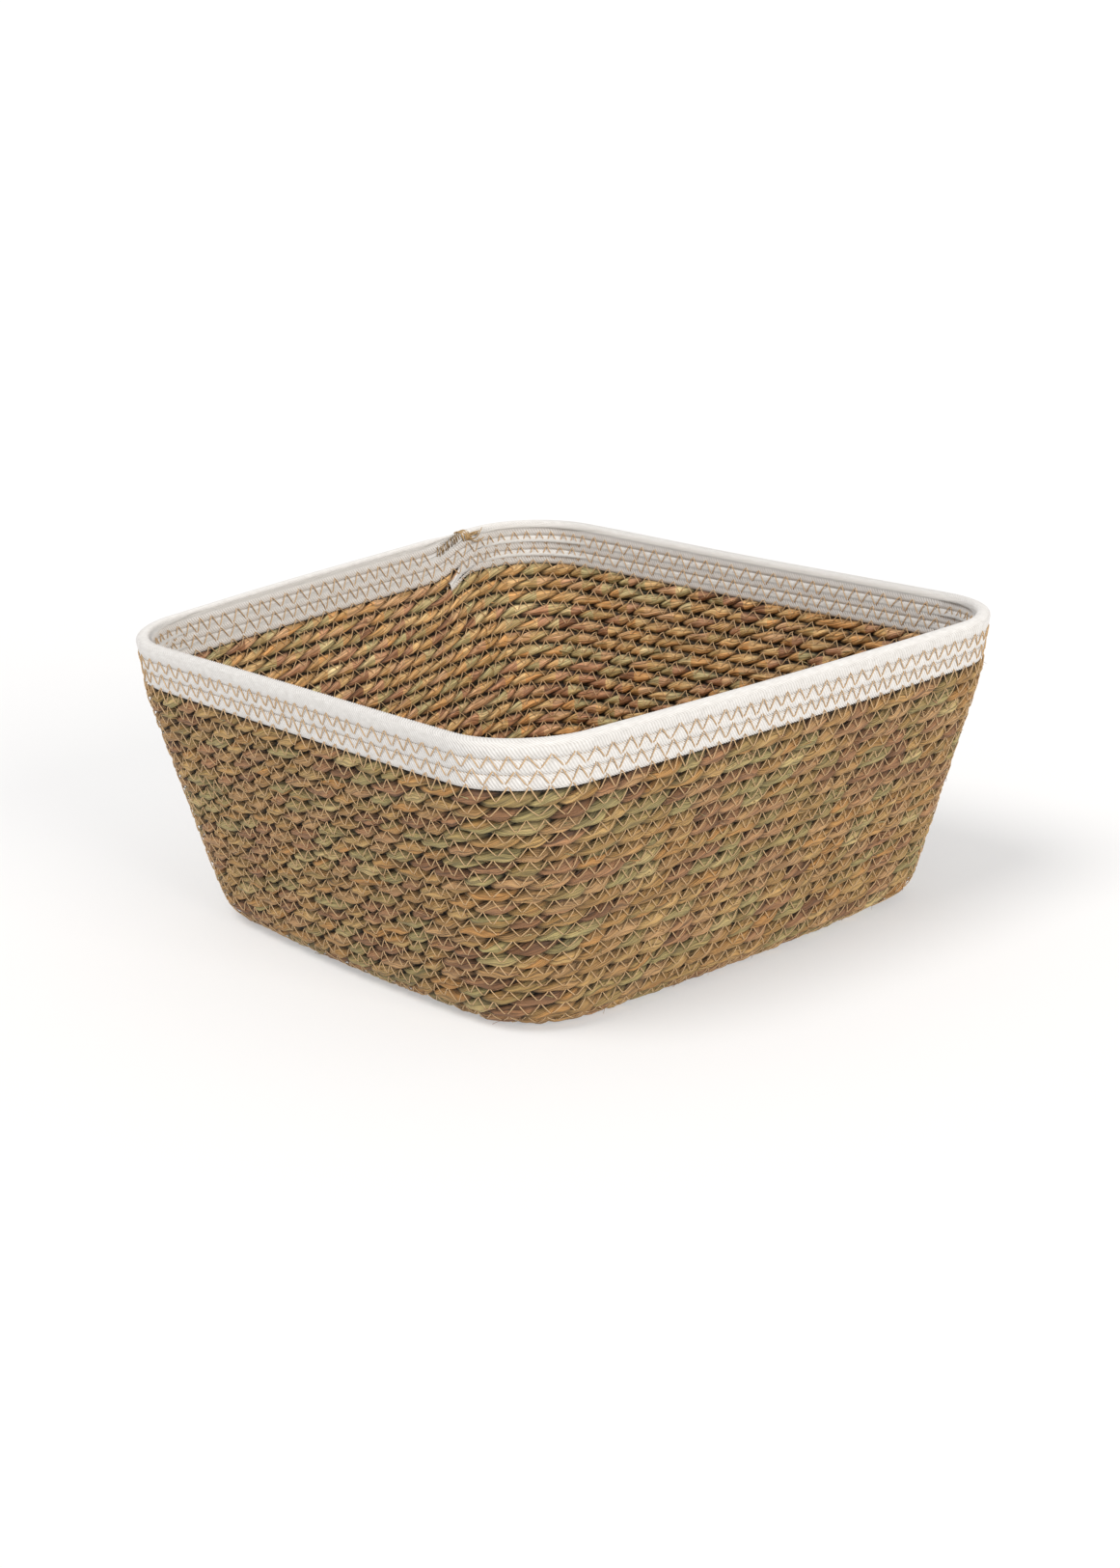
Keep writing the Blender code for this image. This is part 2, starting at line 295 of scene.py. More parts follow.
    def profile_length(self, turn: np.ndarray, share: np.ndarray) -> np.ndarray:
        """Return how far up the profile a turn of the spiral lies at a share of a turn.

        Args:
            turn: Turns of the spiral.
            share: The shares of a turn at which to read them.

        Returns:
            Lengths up the profile.  The rim is level although the courses climb, so the courses of
            the wall ease closer together where there is one more of them.
        """
        turn, share = np.broadcast_arrays(np.asarray(turn, float), np.asarray(share, float))
        up_wall = np.clip((turn - self.base_turns) / (self.wall_courses - 1), 0.0, 1.0)
        stretch = self.low_shift * (self.shift_share / self.low_shift) ** up_wall
        shifted = ease((share - (1.0 - stretch)) / stretch)
        courses = self.all_turns - 1 + share * (1.0 - shifted)
        below = courses - turn
        cords = self.rim_courses - 0.5
        band = cords * self.cord_course
        rope_band = self.profile_end - band - self.flat_length
        rim = np.minimum(self.profile_end - self.cord_course * below, self.top)
        down = (below - cords) / (courses - cords - self.base_turns)
        wall = self.profile_end - band - rope_band * down
        flat = self.flat_length * turn / self.base_turns
        return np.where(turn <= self.base_turns, flat, np.where(below <= cords, rim, wall))

    def centre(self) -> np.ndarray:
        """Return the shift that centres the form on the frame, read from a rim course.

        Returns:
            The shift in X, Y and Z.
        """
        share = np.linspace(0.0, 1.0, 400)
        turn = self.all_turns - 2 + share
        low, high = self.profile_length(turn - 0.5, share), self.profile_length(turn + 0.5, share)
        course = self.point((low + high) / 2, share)
        box_low, box_high = (np.array(corner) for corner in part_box("rim_cord_course_2"))
        shift = (box_low + box_high) / 2 - (course.min(0) + course.max(0)) / 2
        return np.array([shift[0], shift[1], 0.0])


@dataclass
class WallPath:
    """The middle of the wall, centred on the frame, with its directions."""

    form: BasketForm
    shift: np.ndarray = field(init=False)
    step: float = 1.0e-4
    down: tuple = (0.0, 0.0, -1.0)
    turning: float = 1.0e-4  # gives a direction even where the coil's line stands still
    cinch: float = 0.017
    cinch_from: float = 0.78
    lifts: tuple = ((-0.155, 0.155, 0.0040), (-0.155, -0.155, -0.0040))
    lift_spread: float = 0.075

    def __post_init__(self) -> None:
        """Find where the frame's centre puts the form."""
        self.shift = self.form.centre()

    def place(self, along: np.ndarray, share: np.ndarray) -> np.ndarray:
        """Return points on the wall's middle, with the rim as hand sewing leaves it.

        Args:
            along: Lengths up the profile.
            share: Shares of a turn.

        Returns:
            Centred points.  The rim is drawn in a little, with one corner high and one low.
        """
        point = self.form.point(along, share) + self.shift
        level = point[..., 2] / self.form.height
        drawn = 1.0 - self.cinch * ease((level - self.cinch_from) / (1.0 - self.cinch_from))
        point[..., :2] *= drawn[..., None]
        for x, y, lift in self.lifts:
            away = (point[..., 0] - x) ** 2 + (point[..., 1] - y) ** 2
            point[..., 2] += lift * level ** 2 * np.exp(-away / (2.0 * self.lift_spread ** 2))
        return point

    def frame(self, along: np.ndarray, share: np.ndarray) -> tuple[np.ndarray, ...]:
        """Return points with their directions.

        Args:
            along: Lengths up the profile.
            share: Shares of a turn.

        Returns:
            The points, the directions along the course, up the wall, and outward.
        """
        point = self.place(along, share)
        ahead = self.place(along, np.asarray(share) + self.step)
        forward = ahead - self.place(along, np.asarray(share) - self.step)
        above = self.place(np.asarray(along) + self.step, share) - point
        forward = unit(forward + self.turning * np.cross(self.down, above))
        outward = unit(np.cross(above, forward))
        return point, forward, np.cross(forward, outward), outward


@dataclass
class Course:
    """One stretch of the spiral, measured along its own length."""

    path: WallPath
    first: float
    last: float
    start: float = 0.0
    samples: int = 3000
    turns: np.ndarray = field(init=False)
    lengths: np.ndarray = field(init=False)

    def __post_init__(self) -> None:
        """Measure the stretch."""
        self.turns = np.linspace(self.first, self.last, self.samples)
        point = self.path.place(self.middle(self.turns), self.turns % 1.0)
        self.lengths = self.start + running_length(point)

    def edge(self, turns: np.ndarray, share: np.ndarray, side: float) -> np.ndarray:
        """Return the profile length of the edge above (0.5) or below (-0.5) the middle."""
        return self.path.form.profile_length(turns + side, share)

    def middle(self, turns: np.ndarray) -> np.ndarray:
        """Return the profile length of the course's middle at turns."""
        share = turns % 1.0
        return (self.edge(turns, share, -0.5) + self.edge(turns, share, 0.5)) / 2

    def half_width(self, turns: np.ndarray) -> np.ndarray:
        """Return half the room that the course has between its neighbours.

        Args:
            turns: Turns of the course.

        Returns:
            Half the distance up the wall, for each turn.
        """
        share = turns % 1.0
        low = self.path.place(self.edge(turns, share, -0.5), share)
        high = self.path.place(self.edge(turns, share, 0.5), share)
        return np.linalg.norm(high - low, axis=-1) / 2

    def turn_at(self, lengths: np.ndarray) -> np.ndarray:
        """Return the turns at lengths along the stretch."""
        return np.interp(lengths, self.lengths, self.turns)

    def spots(self, step: float) -> np.ndarray:
        """Return lengths along the stretch, evenly spaced by about a step."""
        return np.linspace(self.start, self.end, max(4, round((self.end - self.start) / step)))

    def frame(self, turns: np.ndarray) -> tuple[np.ndarray, ...]:
        """Return the course's middle at turns, with its directions there."""
        return self.path.frame(self.middle(turns), turns % 1.0)

    @property
    def end(self) -> float:
        """Return the length at which the stretch ends."""
        return float(self.lengths[-1])


@dataclass
class StrandMesh:
    """Tubes bent from flat grids and gathered into one mesh."""

    sides: int
    girth: float
    rings: list[np.ndarray] = field(default_factory=list)
    strand_maps: list[np.ndarray] = field(default_factory=list)
    counts: list[np.ndarray] = field(default_factory=list)
    reliefs: list[np.ndarray] = field(default_factory=list)
    margin: float = 0.04
    weld: float = 1.0e-6

    def add(self, rings: np.ndarray, strand_map: np.ndarray, count: np.ndarray,
            relief: np.ndarray | None = None) -> None:
        """Add one tube.

        Args:
            rings: Points, one row for each ring, whose last point closes the ring.
            strand_map: The pattern's place at each of those points, along and around.
            count: A number for each ring, which the finish reads as the lobe that it is in.
            relief: How proud of the grooves each point stands, 0 to 1, with 2 added on the
                outside face; all 1 if left out.
        """
        rings[:, -1] = rings[:, 0]
        self.rings.append(rings)
        self.strand_maps.append(strand_map)
        self.counts.append(np.repeat(count[:, None], self.sides + 1, 1))
        self.reliefs.append(np.ones(rings.shape[:2]) if relief is None else relief)

    def grids(self) -> bpy.types.Mesh:
        """Return a mesh of one flat unit grid for each tube, side by side along Y.

        Returns:
            The mesh, whose grids have a column for each ring.
        """
        bm = bmesh.new()
        for number, rings in enumerate(self.rings):
            made = bmesh.ops.create_grid(bm, x_segments=len(rings) - 1, y_segments=self.sides, size=0.5)
            bmesh.ops.translate(bm, verts=made["verts"], vec=(0.0, 2.0 * number, 0.0))
        mesh = bpy.data.meshes.new("strands")
        bm.to_mesh(mesh)
        bm.free()
        return mesh

    def bake_rows(self, tube: np.ndarray, run: np.ndarray, around: np.ndarray) -> np.ndarray:
        """Return a UV layout that lays each tube out in rows of the same length.

        Args:
            tube: The number of each loop's tube.
            run: Each loop's share of its tube's length.
            around: Each loop's share of the way round.

        Returns:
            U and V for each loop, in the unit square.
        """
        spans = [running_length(rings[:, 0])[-1] for rings in self.rings]
        row_length = math.sqrt(sum(spans) * self.girth)
        rows = np.array([max(1, round(span / row_length)) for span in spans])
        first_row = np.concatenate([[0], np.cumsum(rows)[:-1]])
        face_run = np.repeat(run.reshape(-1, 4).mean(1), 4)
        row = np.minimum(np.floor(face_run * rows[tube]), rows[tube] - 1)
        inside = mix(self.margin, 1.0 - self.margin, around)
        return np.stack([run * rows[tube] - row, (first_row[tube] + row + inside) / rows.sum()], 1)

    def mesh(self, name: str) -> bpy.types.Mesh:
        """Return the closed mesh of all the tubes, with its maps and its lobe numbers.

        Args:
            name: The mesh's name.

        Returns:
            The finished mesh.
        """
        mesh = self.grids()
        flat = np.empty(len(mesh.vertices) * 3)
        mesh.vertices.foreach_get("co", flat)
        flat = flat.reshape(-1, 3)
        tube = np.round(flat[:, 1] / 2.0).astype(int)
        run, around = flat[:, 0] + 0.5, flat[:, 1] - 2.0 * tube + 0.5
        length = np.array([len(rings) for rings in self.rings])
        first = np.concatenate([[0], np.cumsum(length * (self.sides + 1))[:-1]])
        ring = np.round(run * (length[tube] - 1)).astype(int)
        index = first[tube] + ring * (self.sides + 1) + np.round(around * self.sides).astype(int)
        places = np.concatenate([rings.reshape(-1, 3) for rings in self.rings])[index]
        mesh.vertices.foreach_set("co", places.astype(np.float32).ravel())
        loop_vertex = np.empty(len(mesh.loops), dtype=np.int32)
        mesh.loops.foreach_get("vertex_index", loop_vertex)
        strand = np.concatenate([part.reshape(-1, 2) for part in self.strand_maps])[index]
        bake = self.bake_rows(tube[loop_vertex], run[loop_vertex], around[loop_vertex])
        for label, places in (("Strand", strand[loop_vertex]), ("OFBake", bake)):
            layer = mesh.uv_layers.new(name=label)
            layer.data.foreach_set("uv", places.astype(np.float32).ravel())
        for label, parts in (("lobe", self.counts), ("relief", self.reliefs)):
            layer = mesh.attributes.new(label, "FLOAT", "POINT")
            values = np.concatenate([part.ravel() for part in parts])[index]
            layer.data.foreach_set("value", values.astype(np.float32))
        return self.closed(mesh, name)

    def closed(self, mesh: bpy.types.Mesh, name: str) -> bpy.types.Mesh:
        """Weld each tube's seam, cap its ends and turn its faces outward.

        Args:
            mesh: The mesh of open tubes, which is used up.
            name: The new mesh's name.

        Returns:
            The closed mesh.
        """
        bm = bmesh.new()
        bm.from_mesh(mesh)
        bpy.data.meshes.remove(mesh)
        bmesh.ops.remove_doubles(bm, verts=bm.verts[:], dist=self.weld)
        open_edges = [edge for edge in bm.edges if edge.is_boundary]
        bmesh.ops.holes_fill(bm, edges=open_edges, sides=0)
        bmesh.ops.recalc_face_normals(bm, faces=bm.faces[:])
        done = bpy.data.meshes.new(name)
        bm.to_mesh(done)
        bm.free()
        done.shade_smooth()
        return done


class Piece:
    """Puts finished meshes into the scene."""

    @staticmethod
    def place(mesh: bpy.types.Mesh, slot: Slot, material: bpy.types.Material,
              replaced: list[str]) -> bpy.types.Object:
        """Add a mesh as a piece of the basket.

        Args:
            mesh: The finished mesh, whose name the piece takes.
            slot: Not used.
            material: The finish.
            replaced: The frame nodes that the piece stands for.

        Returns:
            The piece's object.
        """
        piece = bpy.data.objects.new(mesh.name, mesh)
        piece.data.materials.append(material)
        bpy.context.scene.collection.objects.link(piece)
        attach(piece, BODY)
        if replaced:
            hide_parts(*replaced)
        LOG.info("%s: %d faces", mesh.name, len(mesh.polygons))
        return piece


@dataclass(frozen=True)
class TwoPlyRope:
    """Two plies of folded seagrass leaf, laid up right-handed."""

    lay: float = 0.0310
    orbit: float = 0.44
    radial: float = 0.58
    around: float = 0.88
    fullness: float = 2.15
    reach: float = 0.0038
    spread: float = 1.02
    lean_out: float = 0.24
    droop: float = 0.42
    leaf_turn: float = 0.85
    leaf_strips: int = 5
    sides: int = 20
    ring_step: float = 0.0021
    base_ring_step: float = 0.0034
    phase_wander: float = 0.75
    leaf_wander: float = 0.7
    unevenness: float = 0.10
    fold_depth: float = 0.07
    core_step: float = 0.008
    core_reach: float = 0.0011
    core_spread: float = 1.04

    def phase(self, lengths: np.ndarray) -> np.ndarray:
        """Return the angle of the first ply about the rope at lengths along it."""
        return self.phase_wander * wander(lengths, 0.085, 11) - 2.0 * math.pi * lengths / self.lay

    def leaf_shift(self, ply: int, lengths: np.ndarray) -> np.ndarray:
        """Return the angle by which a ply's leaf strips have turned about it at lengths."""
        phase = self.phase(lengths) + math.pi * ply
        return self.leaf_turn * phase + self.leaf_wander * wander(lengths, 0.06, 31 + ply)

    def outline(self, ply: int, lengths: np.ndarray, half_width: np.ndarray,
                angles: np.ndarray) -> tuple[np.ndarray, np.ndarray]:
        """Return a ply's outline in the rope's own section.

        Args:
            ply: 0 or 1.
            lengths: Lengths along the rope, one for each ring.
            half_width: Half the room between the neighbouring courses, for each ring.
            angles: Angles about the ply, from the direction away from the rope's middle.

        Returns:
            How far up the wall and how far outward each point of each ring lies.
        """
        phase = (self.phase(lengths) + math.pi * ply)[:, None]
        swell = 1.0 + self.unevenness * wander(lengths, 0.034, 21 + ply)[:, None]
        leaf = angles[None, :] + self.leaf_shift(ply, lengths)[:, None]
        folds = np.abs(np.sin(self.leaf_strips / 2.0 * leaf))
        body = swell * (1.0 - self.fold_depth * (1.0 - folds) ** 2)
        out = self.orbit + self.radial * full(np.cos(angles), self.fullness) * body
        over = self.around * full(np.sin(angles), self.fullness) * body
        up = out * np.sin(phase) + over * np.cos(phase)
        outward = out * np.cos(phase) - over * np.sin(phase)
        up = (up - self.droop * np.maximum(outward, 0.0)) * (half_width * self.spread)[:, None]
        return up, outward * self.reach - up * self.lean_out

    def surface(self, lengths: np.ndarray, half_width: np.ndarray, height: np.ndarray,
                face: Face, window: float = 0.0004) -> np.ndarray:
        """Return how far out the rope's surface lies at heights across it.

        Args:
            lengths: Lengths along the rope.
            half_width: Half the room between the neighbouring courses there.
            height: How far up the wall from the rope's middle to look.
            face: The face of the wall to look at.
            window: How near an outline point must be to count.

        Returns:
            The distance from the wall's middle, towards that face.
        """
        angles = np.linspace(0.0, 2.0 * math.pi, 72, endpoint=False)
        best = np.full(len(lengths), -0.001)
        for ply in (0, 1):
            up, out = self.outline(ply, lengths, half_width, angles)
            near = np.abs(up - height[:, None]) < window
            best = np.maximum(best, np.where(near, out * face.value, -1.0).max(1))
        return best


@dataclass
class SeagrassRope:
    """The seagrass rope of the base and of the wall, course by course."""

    path: WallPath
    ply: TwoPlyRope
    first_turn: float = 0.06
    floor_gap: float = 0.0004
    tip_length: float = 0.022
    tip_width: float = 0.25
    tip_lift: float = 0.75
    ply_apart: float = 60.0  # keeps the patterns of the two plies apart
    lobes_apart: float = 5000.0  # and their lobes' numbers
    girth: float = 0.015
    base_samples: int = 14000
    courses: list[Course] = field(default_factory=list)

    def measure(self) -> None:
        """Measure every course, so that the lay runs on from one into the next."""
        form = self.path.form
        base = Course(self.path, self.first_turn, form.base_turns, 0.0, self.base_samples)
        self.courses = [base]
        for number in range(form.wall_courses):
            turn = form.base_turns + number
            course = Course(self.path, turn, turn + 1 - 1e-9, self.courses[-1].end)
            self.courses.append(course)

    def length_at(self, turns: np.ndarray) -> np.ndarray:
        """Return the rope's length at turns of its spiral.

        Args:
            turns: Turns of the spiral.

        Returns:
            The lengths, which are 0 beyond the rope's end.
        """
        lengths = np.zeros(len(turns))
        for course in self.courses:
            inside = (turns >= course.first) & (turns <= course.last + 1e-6)
            lengths = np.where(inside, np.interp(turns, course.turns, course.lengths), lengths)
        return lengths

    def taper(self, number: int, lengths: np.ndarray) -> np.ndarray:
        """Return the rope's share of its full thickness, which falls towards its end.

        Args:
            number: 0 for the base, then the number of the wall course.
            lengths: Lengths along the rope.

        Returns:
            A share for each length.
        """
        if number < len(self.courses) - 1:
            return np.ones(len(lengths))
        left = (self.courses[-1].end - lengths) / self.tip_length
        return mix(self.tip_width, 1.0, ease(left))

    def section(self, number: int, lengths: np.ndarray) -> tuple[np.ndarray, ...]:
        """Return what every ring of a course needs.

        Args:
            number: 0 for the base, then the number of the wall course.
            lengths: Lengths along the rope, one for each ring.

        Returns:
            The middle, the directions up the wall and outward, half the room between the
            neighbours, the share of the full thickness, and the lift that a thin end has.
        """
        course = self.courses[number]
        turns = course.turn_at(lengths)
        point, _, up_wall, outward = course.frame(turns)
        half, thin = course.half_width(turns), self.taper(number, lengths)
        lift = (1.0 - thin) * half * self.tip_lift
        return point[:, None], up_wall[:, None], outward[:, None], half, thin[:, None], lift[:, None]

    def tube(self, number: int, ply: int, step: float, sides: int) -> Tube:
        """Return one ply of one course.

        Args:
            number: 0 for the base, then the number of the wall course.
            ply: 0 or 1.
            step: The distance between two rings.
            sides: The number of faces round the ply.

        Returns:
            The tube and its relief, whose number for each ring is its lobe.
        """
        lengths, angles = self.courses[number].spots(step), ring_angles(sides)
        point, up_wall, outward, half, thin, lift = self.section(number, lengths)
        up, out = self.ply.outline(ply, lengths, half, angles)
        up, out = up * thin + lift, out * thin
        places = point + up_wall * up[..., None] + outward * out[..., None]
        places[..., 2] = np.maximum(places[..., 2], self.floor_gap)
        strand = pattern(lengths + self.ply_apart * ply, angles)
        strand[..., 1] += self.ply.leaf_shift(ply, lengths)[:, None] / (2.0 * math.pi)
        lobe = (self.ply.phase(lengths) + math.pi * ply) / (2.0 * math.pi) + 0.5
        # the seagrass finish paints shade in the grooves and highlight on the crests from this relief
        depth = (out + up * self.ply.lean_out) / self.ply.reach
        relief = np.clip(np.abs(depth), 0.0, 1.0) + np.where(depth > 0.0, 2.0, 0.0)
        return places, strand, lobe + self.lobes_apart * ply, relief

    def core(self, number: int, sides: int) -> Tube:
        """Return the thin core that fills the gaps between the plies of a course.

        Args:
            number: 0 for the base, then the number of the wall course.
            sides: The number of faces round the core.

        Returns:
            The tube and its relief, which is none, so the seagrass finish paints the core in its darkest
            groove shade.
        """
        lengths, angles = self.courses[number].spots(self.ply.core_step), ring_angles(sides)
        point, up_wall, outward, half, thin, lift = self.section(number, lengths)
        up = np.sin(angles) * half[:, None] * thin * self.ply.core_spread + lift
        out = np.cos(angles) * self.ply.core_reach * thin
        places = point + up_wall * up[..., None] + outward * out[..., None]
        return places, pattern(lengths, angles), np.zeros(len(lengths)), np.zeros(up.shape)

    def build(self, finish: bpy.types.Material) -> None:
        """Build the base and the wall courses.

        Args:
            finish: The material of the pieces.
        """
        self.measure()
        for number in range(len(self.courses)):
            base = number == 0
            step = self.ply.base_ring_step if base else self.ply.ring_step
            sides = self.ply.sides - 2 if base else self.ply.sides
            strands = StrandMesh(sides, self.girth)
            for ply in (0, 1):
                strands.add(*self.tube(number, ply, step, sides))
            strands.add(*self.core(number, sides))
            name = "base_rope" if base else "rope_course_%02d" % number
            node = "base_coil" if base else "wall_course_%02d" % number
            Piece.place(strands.mesh(name), Slot.SEAGRASS, finish, [node])


@dataclass
class PaperCord:
    """The white twisted paper cord of the rim, whose ridges follow its twist."""

    path: WallPath
    ridge: float = 0.0016
    samples: int = 3
    ridges_round: int = 14
    sides: int = 18
    reach: float = 0.0035
    depth: float = 0.00038
    spread: float = 1.13
    fullness: float = 3.8
    tail_length: float = 0.012
    tail_width: float = 0.60
    tail_reach: float = 0.55
    tail_drop: float = 0.0031
    tail_inward: float = 0.0026
    tail_settle: float = 0.015
    end_taper: float = 0.020
    end_width: float = 0.45
    end_reach: float = 0.50
    end_rise: float = 0.35
    girth: float = 0.023
    courses: list[Course] = field(default_factory=list)

    def measure(self, start: float) -> None:
        """Measure the three courses and the tail; the lengths run on from the rope's.

        Args:
            start: The rope's length at its end.
        """
        form = self.path.form
        first = form.rope_end
        for number in range(form.rim_courses):
            begin = first + number - (form.overlap_share if number == 0 else 0.0)
            last = number == form.rim_courses - 1
            end = first + number + (1.0 - form.shift_share * 0.3 if last else 1.0 - 1e-9)
            course = Course(self.path, begin, end, start)
            self.courses.append(course)
            start = course.end

    def tube(self, number: int) -> Tube:
        """Return one course of cord.

        Args:
            number: 0, 1 or 2, counted up the rim.

        Returns:
            The tube, whose rings slant with the twist.
        """
        course = self.courses[number]
        step = self.ridge / self.samples
        slant = self.ridge * self.ridges_round
        count = math.ceil((course.end - course.start + slant) / step) + 1
        angles = ring_angles(self.sides)
        straight = course.start - slant / 2 + step * np.arange(count)
        lengths = straight[:, None] + slant * angles[None, :] / (2.0 * math.pi)
        lengths = np.clip(lengths, course.start, course.end)
        turns = course.turn_at(lengths)
        point, _, up_wall, outward = course.frame(turns)
        groove = np.where(np.arange(count) % self.samples == 0, self.depth, 0.0)[:, None]
        half = course.half_width(turns)
        width, reach = half * self.spread - groove, self.reach - groove
        drop, inward = 0.0, 0.0
        if number == 0:
            tail = ease((lengths - course.start) / self.tail_length)
            width, reach = width * mix(self.tail_width, 1.0, tail), reach * mix(self.tail_reach, 1.0, tail)
            settling = 1.0 - ease((lengths - course.start) / self.tail_settle)
            drop, inward = self.tail_drop * settling, self.tail_inward * settling
        if number == len(self.courses) - 1:
            left = ease((course.end - lengths) / self.end_taper)
            width, reach = width * mix(self.end_width, 1.0, left), reach * mix(self.end_reach, 1.0, left)
            drop = -half * self.end_rise * (1.0 - left)
        up = width * full(np.sin(angles), self.fullness) - drop
        out = reach * full(np.cos(angles), self.fullness) - inward
        places = point + up_wall * up[..., None] + outward * out[..., None]
        around = np.broadcast_to(angles / (2.0 * math.pi), lengths.shape)
        return places, np.stack([lengths, around], -1), np.arange(count) / self.samples

    def build(self, finish: bpy.types.Material, start: float) -> None:
        """Build the three courses of cord.

        Args:
            finish: The material of the pieces.
            start: The rope's length at its end.
        """
        self.measure(start)
        for number in range(len(self.courses)):
            strands = StrandMesh(self.sides, self.girth)
            strands.add(*self.tube(number))
            node = "rim_cord_course_%d" % (number + 1)
            Piece.place(strands.mesh("cord_course_%d" % (number + 1)), Slot.CORD, finish, [node])


@dataclass
class ZigzagStitching:
    """The zigzag stitches over the grooves, a needle thread outside and another inside."""

    path: WallPath
    rope: SeagrassRope
    cord: PaperCord
    period: float = 0.0082
    unevenness: float = 0.10
    rise: float = 0.0010
    drop: float = 0.0047
    inside_rise: float = 0.0020
    inside_drop: float = 0.0034
    rim_rise: float = 0.0024
    rim_drop: float = 0.0049
    sink: float = 0.0005
    radius: float = 0.00031
    rope_radius: float = 0.00027
    sides: int = 4
    samples: int = 3000
    leg_points: tuple = (0.0, 0.2, 0.5, 0.8)
    legs_taut: int = 8
    clearance: float = 0.7
    narrowest: float = 0.7
    widest: float = 1.4
    width_wander: float = 0.14
    height_unevenness: float = 0.07
    groove_step: float = 0.0035
    groove_height: float = -0.0004
    groove_share: float = 0.6

    def seam(self, lower: float, last: float) -> tuple[np.ndarray, np.ndarray]:
        """Return the turns and the lengths of a seam above a course.

        Args:
            lower: The turn of the lower course at the seam's start.
            last: The turn of the lower course at its end.

        Returns:
            The lower course's turns, closely spaced, and the lengths along the seam.
        """
        turns = np.linspace(lower, last, self.samples)
        along = self.path.form.profile_length(turns + 0.5, turns % 1.0)
        return turns, running_length(self.path.place(along, turns % 1.0))

    def surface(self, turns: np.ndarray, offset: np.ndarray, face: Face) -> np.ndarray:
        """Return how far from the wall's middle the rope or cord reaches at a seam.

        Args:
            turns: The turns of the course below the seam.
            offset: How far above the seam to look, or below it where negative.
            face: The face of the wall.

        Returns:
            The distances towards that face.
        """
        form = self.path.form
        share = turns % 1.0
        seam = form.profile_length(turns + 0.5, share)
        upper = offset > 0.0
        own = np.where(upper, turns + 1.0, turns)
        low = form.profile_length(own - 0.5, share)
        high = form.profile_length(own + 0.5, share)
        height = (seam + offset - (low + high) / 2) / np.maximum((high - low) / 2, 1.0e-4)
        half = np.linalg.norm(self.path.place(high, share) - self.path.place(low, share), axis=-1) / 2
        white = own >= form.rope_end
        away = np.minimum(np.abs(height), 1.0) ** self.cord.fullness
        cord = self.cord.reach * (1.0 - away) ** (1.0 / self.cord.fullness)
        rope = self.rope.ply.surface(self.rope.length_at(own), half, height * half, face)
        return np.where(white, cord, rope)

    def line(self, at: np.ndarray, heights: np.ndarray, lift: np.ndarray,
             face: Face) -> tuple[np.ndarray, np.ndarray]:
        """Return the middle of a thread that is laid on a seam.

        Args:
            at: Turns of the course below the seam.
            heights: How far above the seam each point lies.
            lift: How far each point lies from the wall's middle.
            face: The face of the wall.

        Returns:
            The points, and the wall's outward directions there.
        """
        form, share = self.path.form, at % 1.0
        along = np.minimum(form.profile_length(at + 0.5, share) + heights, form.top)
        point, _, _, outward = self.path.frame(along, share)
        return point + outward * (lift * face.value)[:, None], outward

    def thread(self, lower: float, last: float, face: Face, seed: int) -> Tube:
        """Return the zigzag along one seam.

        Args:
            lower: The turn at which the seam starts.
            last: The turn at which it ends.
            face: The face of the wall.
            seed: Picks the unevenness of the stitches.

        Returns:
            The thread's tube.
        """
        turns, lengths = self.seam(lower, last)
        rng = np.random.default_rng(seed)
        legs = max(4, 2 * round(lengths[-1] / self.period))
        widths = 1.0 + self.width_wander * wander(np.arange(legs) / legs, 0.3, seed)
        widths = widths * np.clip(rng.normal(1.0, self.unevenness, legs), self.narrowest, self.widest)
        holes = np.concatenate([[0.0], np.cumsum(widths)]) / widths.sum() * lengths[-1]
        inside = face is Face.INSIDE
        high, low = (self.inside_rise, self.inside_drop) if inside else (self.rise, self.drop)
        radius = self.rope_radius
        if lower >= self.path.form.rope_end - (0 if inside else 1):
            high, low, radius = self.rim_rise, self.rim_drop, self.radius
        offsets = np.where(np.arange(legs + 1) % 2 == 0, -low, high)
        offsets = offsets * (1.0 + rng.normal(0.0, self.height_unevenness, legs + 1))
        shape = np.array(self.leg_points)
        spots = np.append((holes[:-1, None] + np.diff(holes)[:, None] * shape).ravel(), holes[-1])
        heights = (offsets[:-1, None] + np.diff(offsets)[:, None] * shape).ravel()
        heights = np.append(heights, offsets[-1])
        at = np.interp(spots, lengths, turns)
        surface = self.surface(at, heights, face)
        lift = surface + self.radius * self.clearance
        for _ in range(self.legs_taut):
            lift[1:-1] = np.maximum(lift[1:-1], (lift[:-2] + lift[2:]) / 2)
        lift[::len(shape)] = surface[::len(shape)] - self.sink
        return self.tube(*self.line(at, heights, lift, face), radius)

    def groove_line(self, lower: float, last: float, face: Face, seed: int) -> Tube:
        """Return the thread that lies along the bottom of a groove.

        Args:
            lower: The turn at which the seam starts.
            last: The turn at which it ends.
            face: The face of the wall.
            seed: Picks the unevenness of the line.

        Returns:
            The thread's tube.
        """
        turns, lengths = self.seam(lower, last)
        spots = np.linspace(0.0, lengths[-1], round(lengths[-1] / self.groove_step))
        at = np.interp(spots, lengths, turns)
        heights = self.groove_height + 0.0002 * wander(spots, 0.03, seed)
        line, outward = self.line(at, heights, self.surface(at, heights, face), face)
        return self.tube(line, outward, self.radius * self.groove_share)

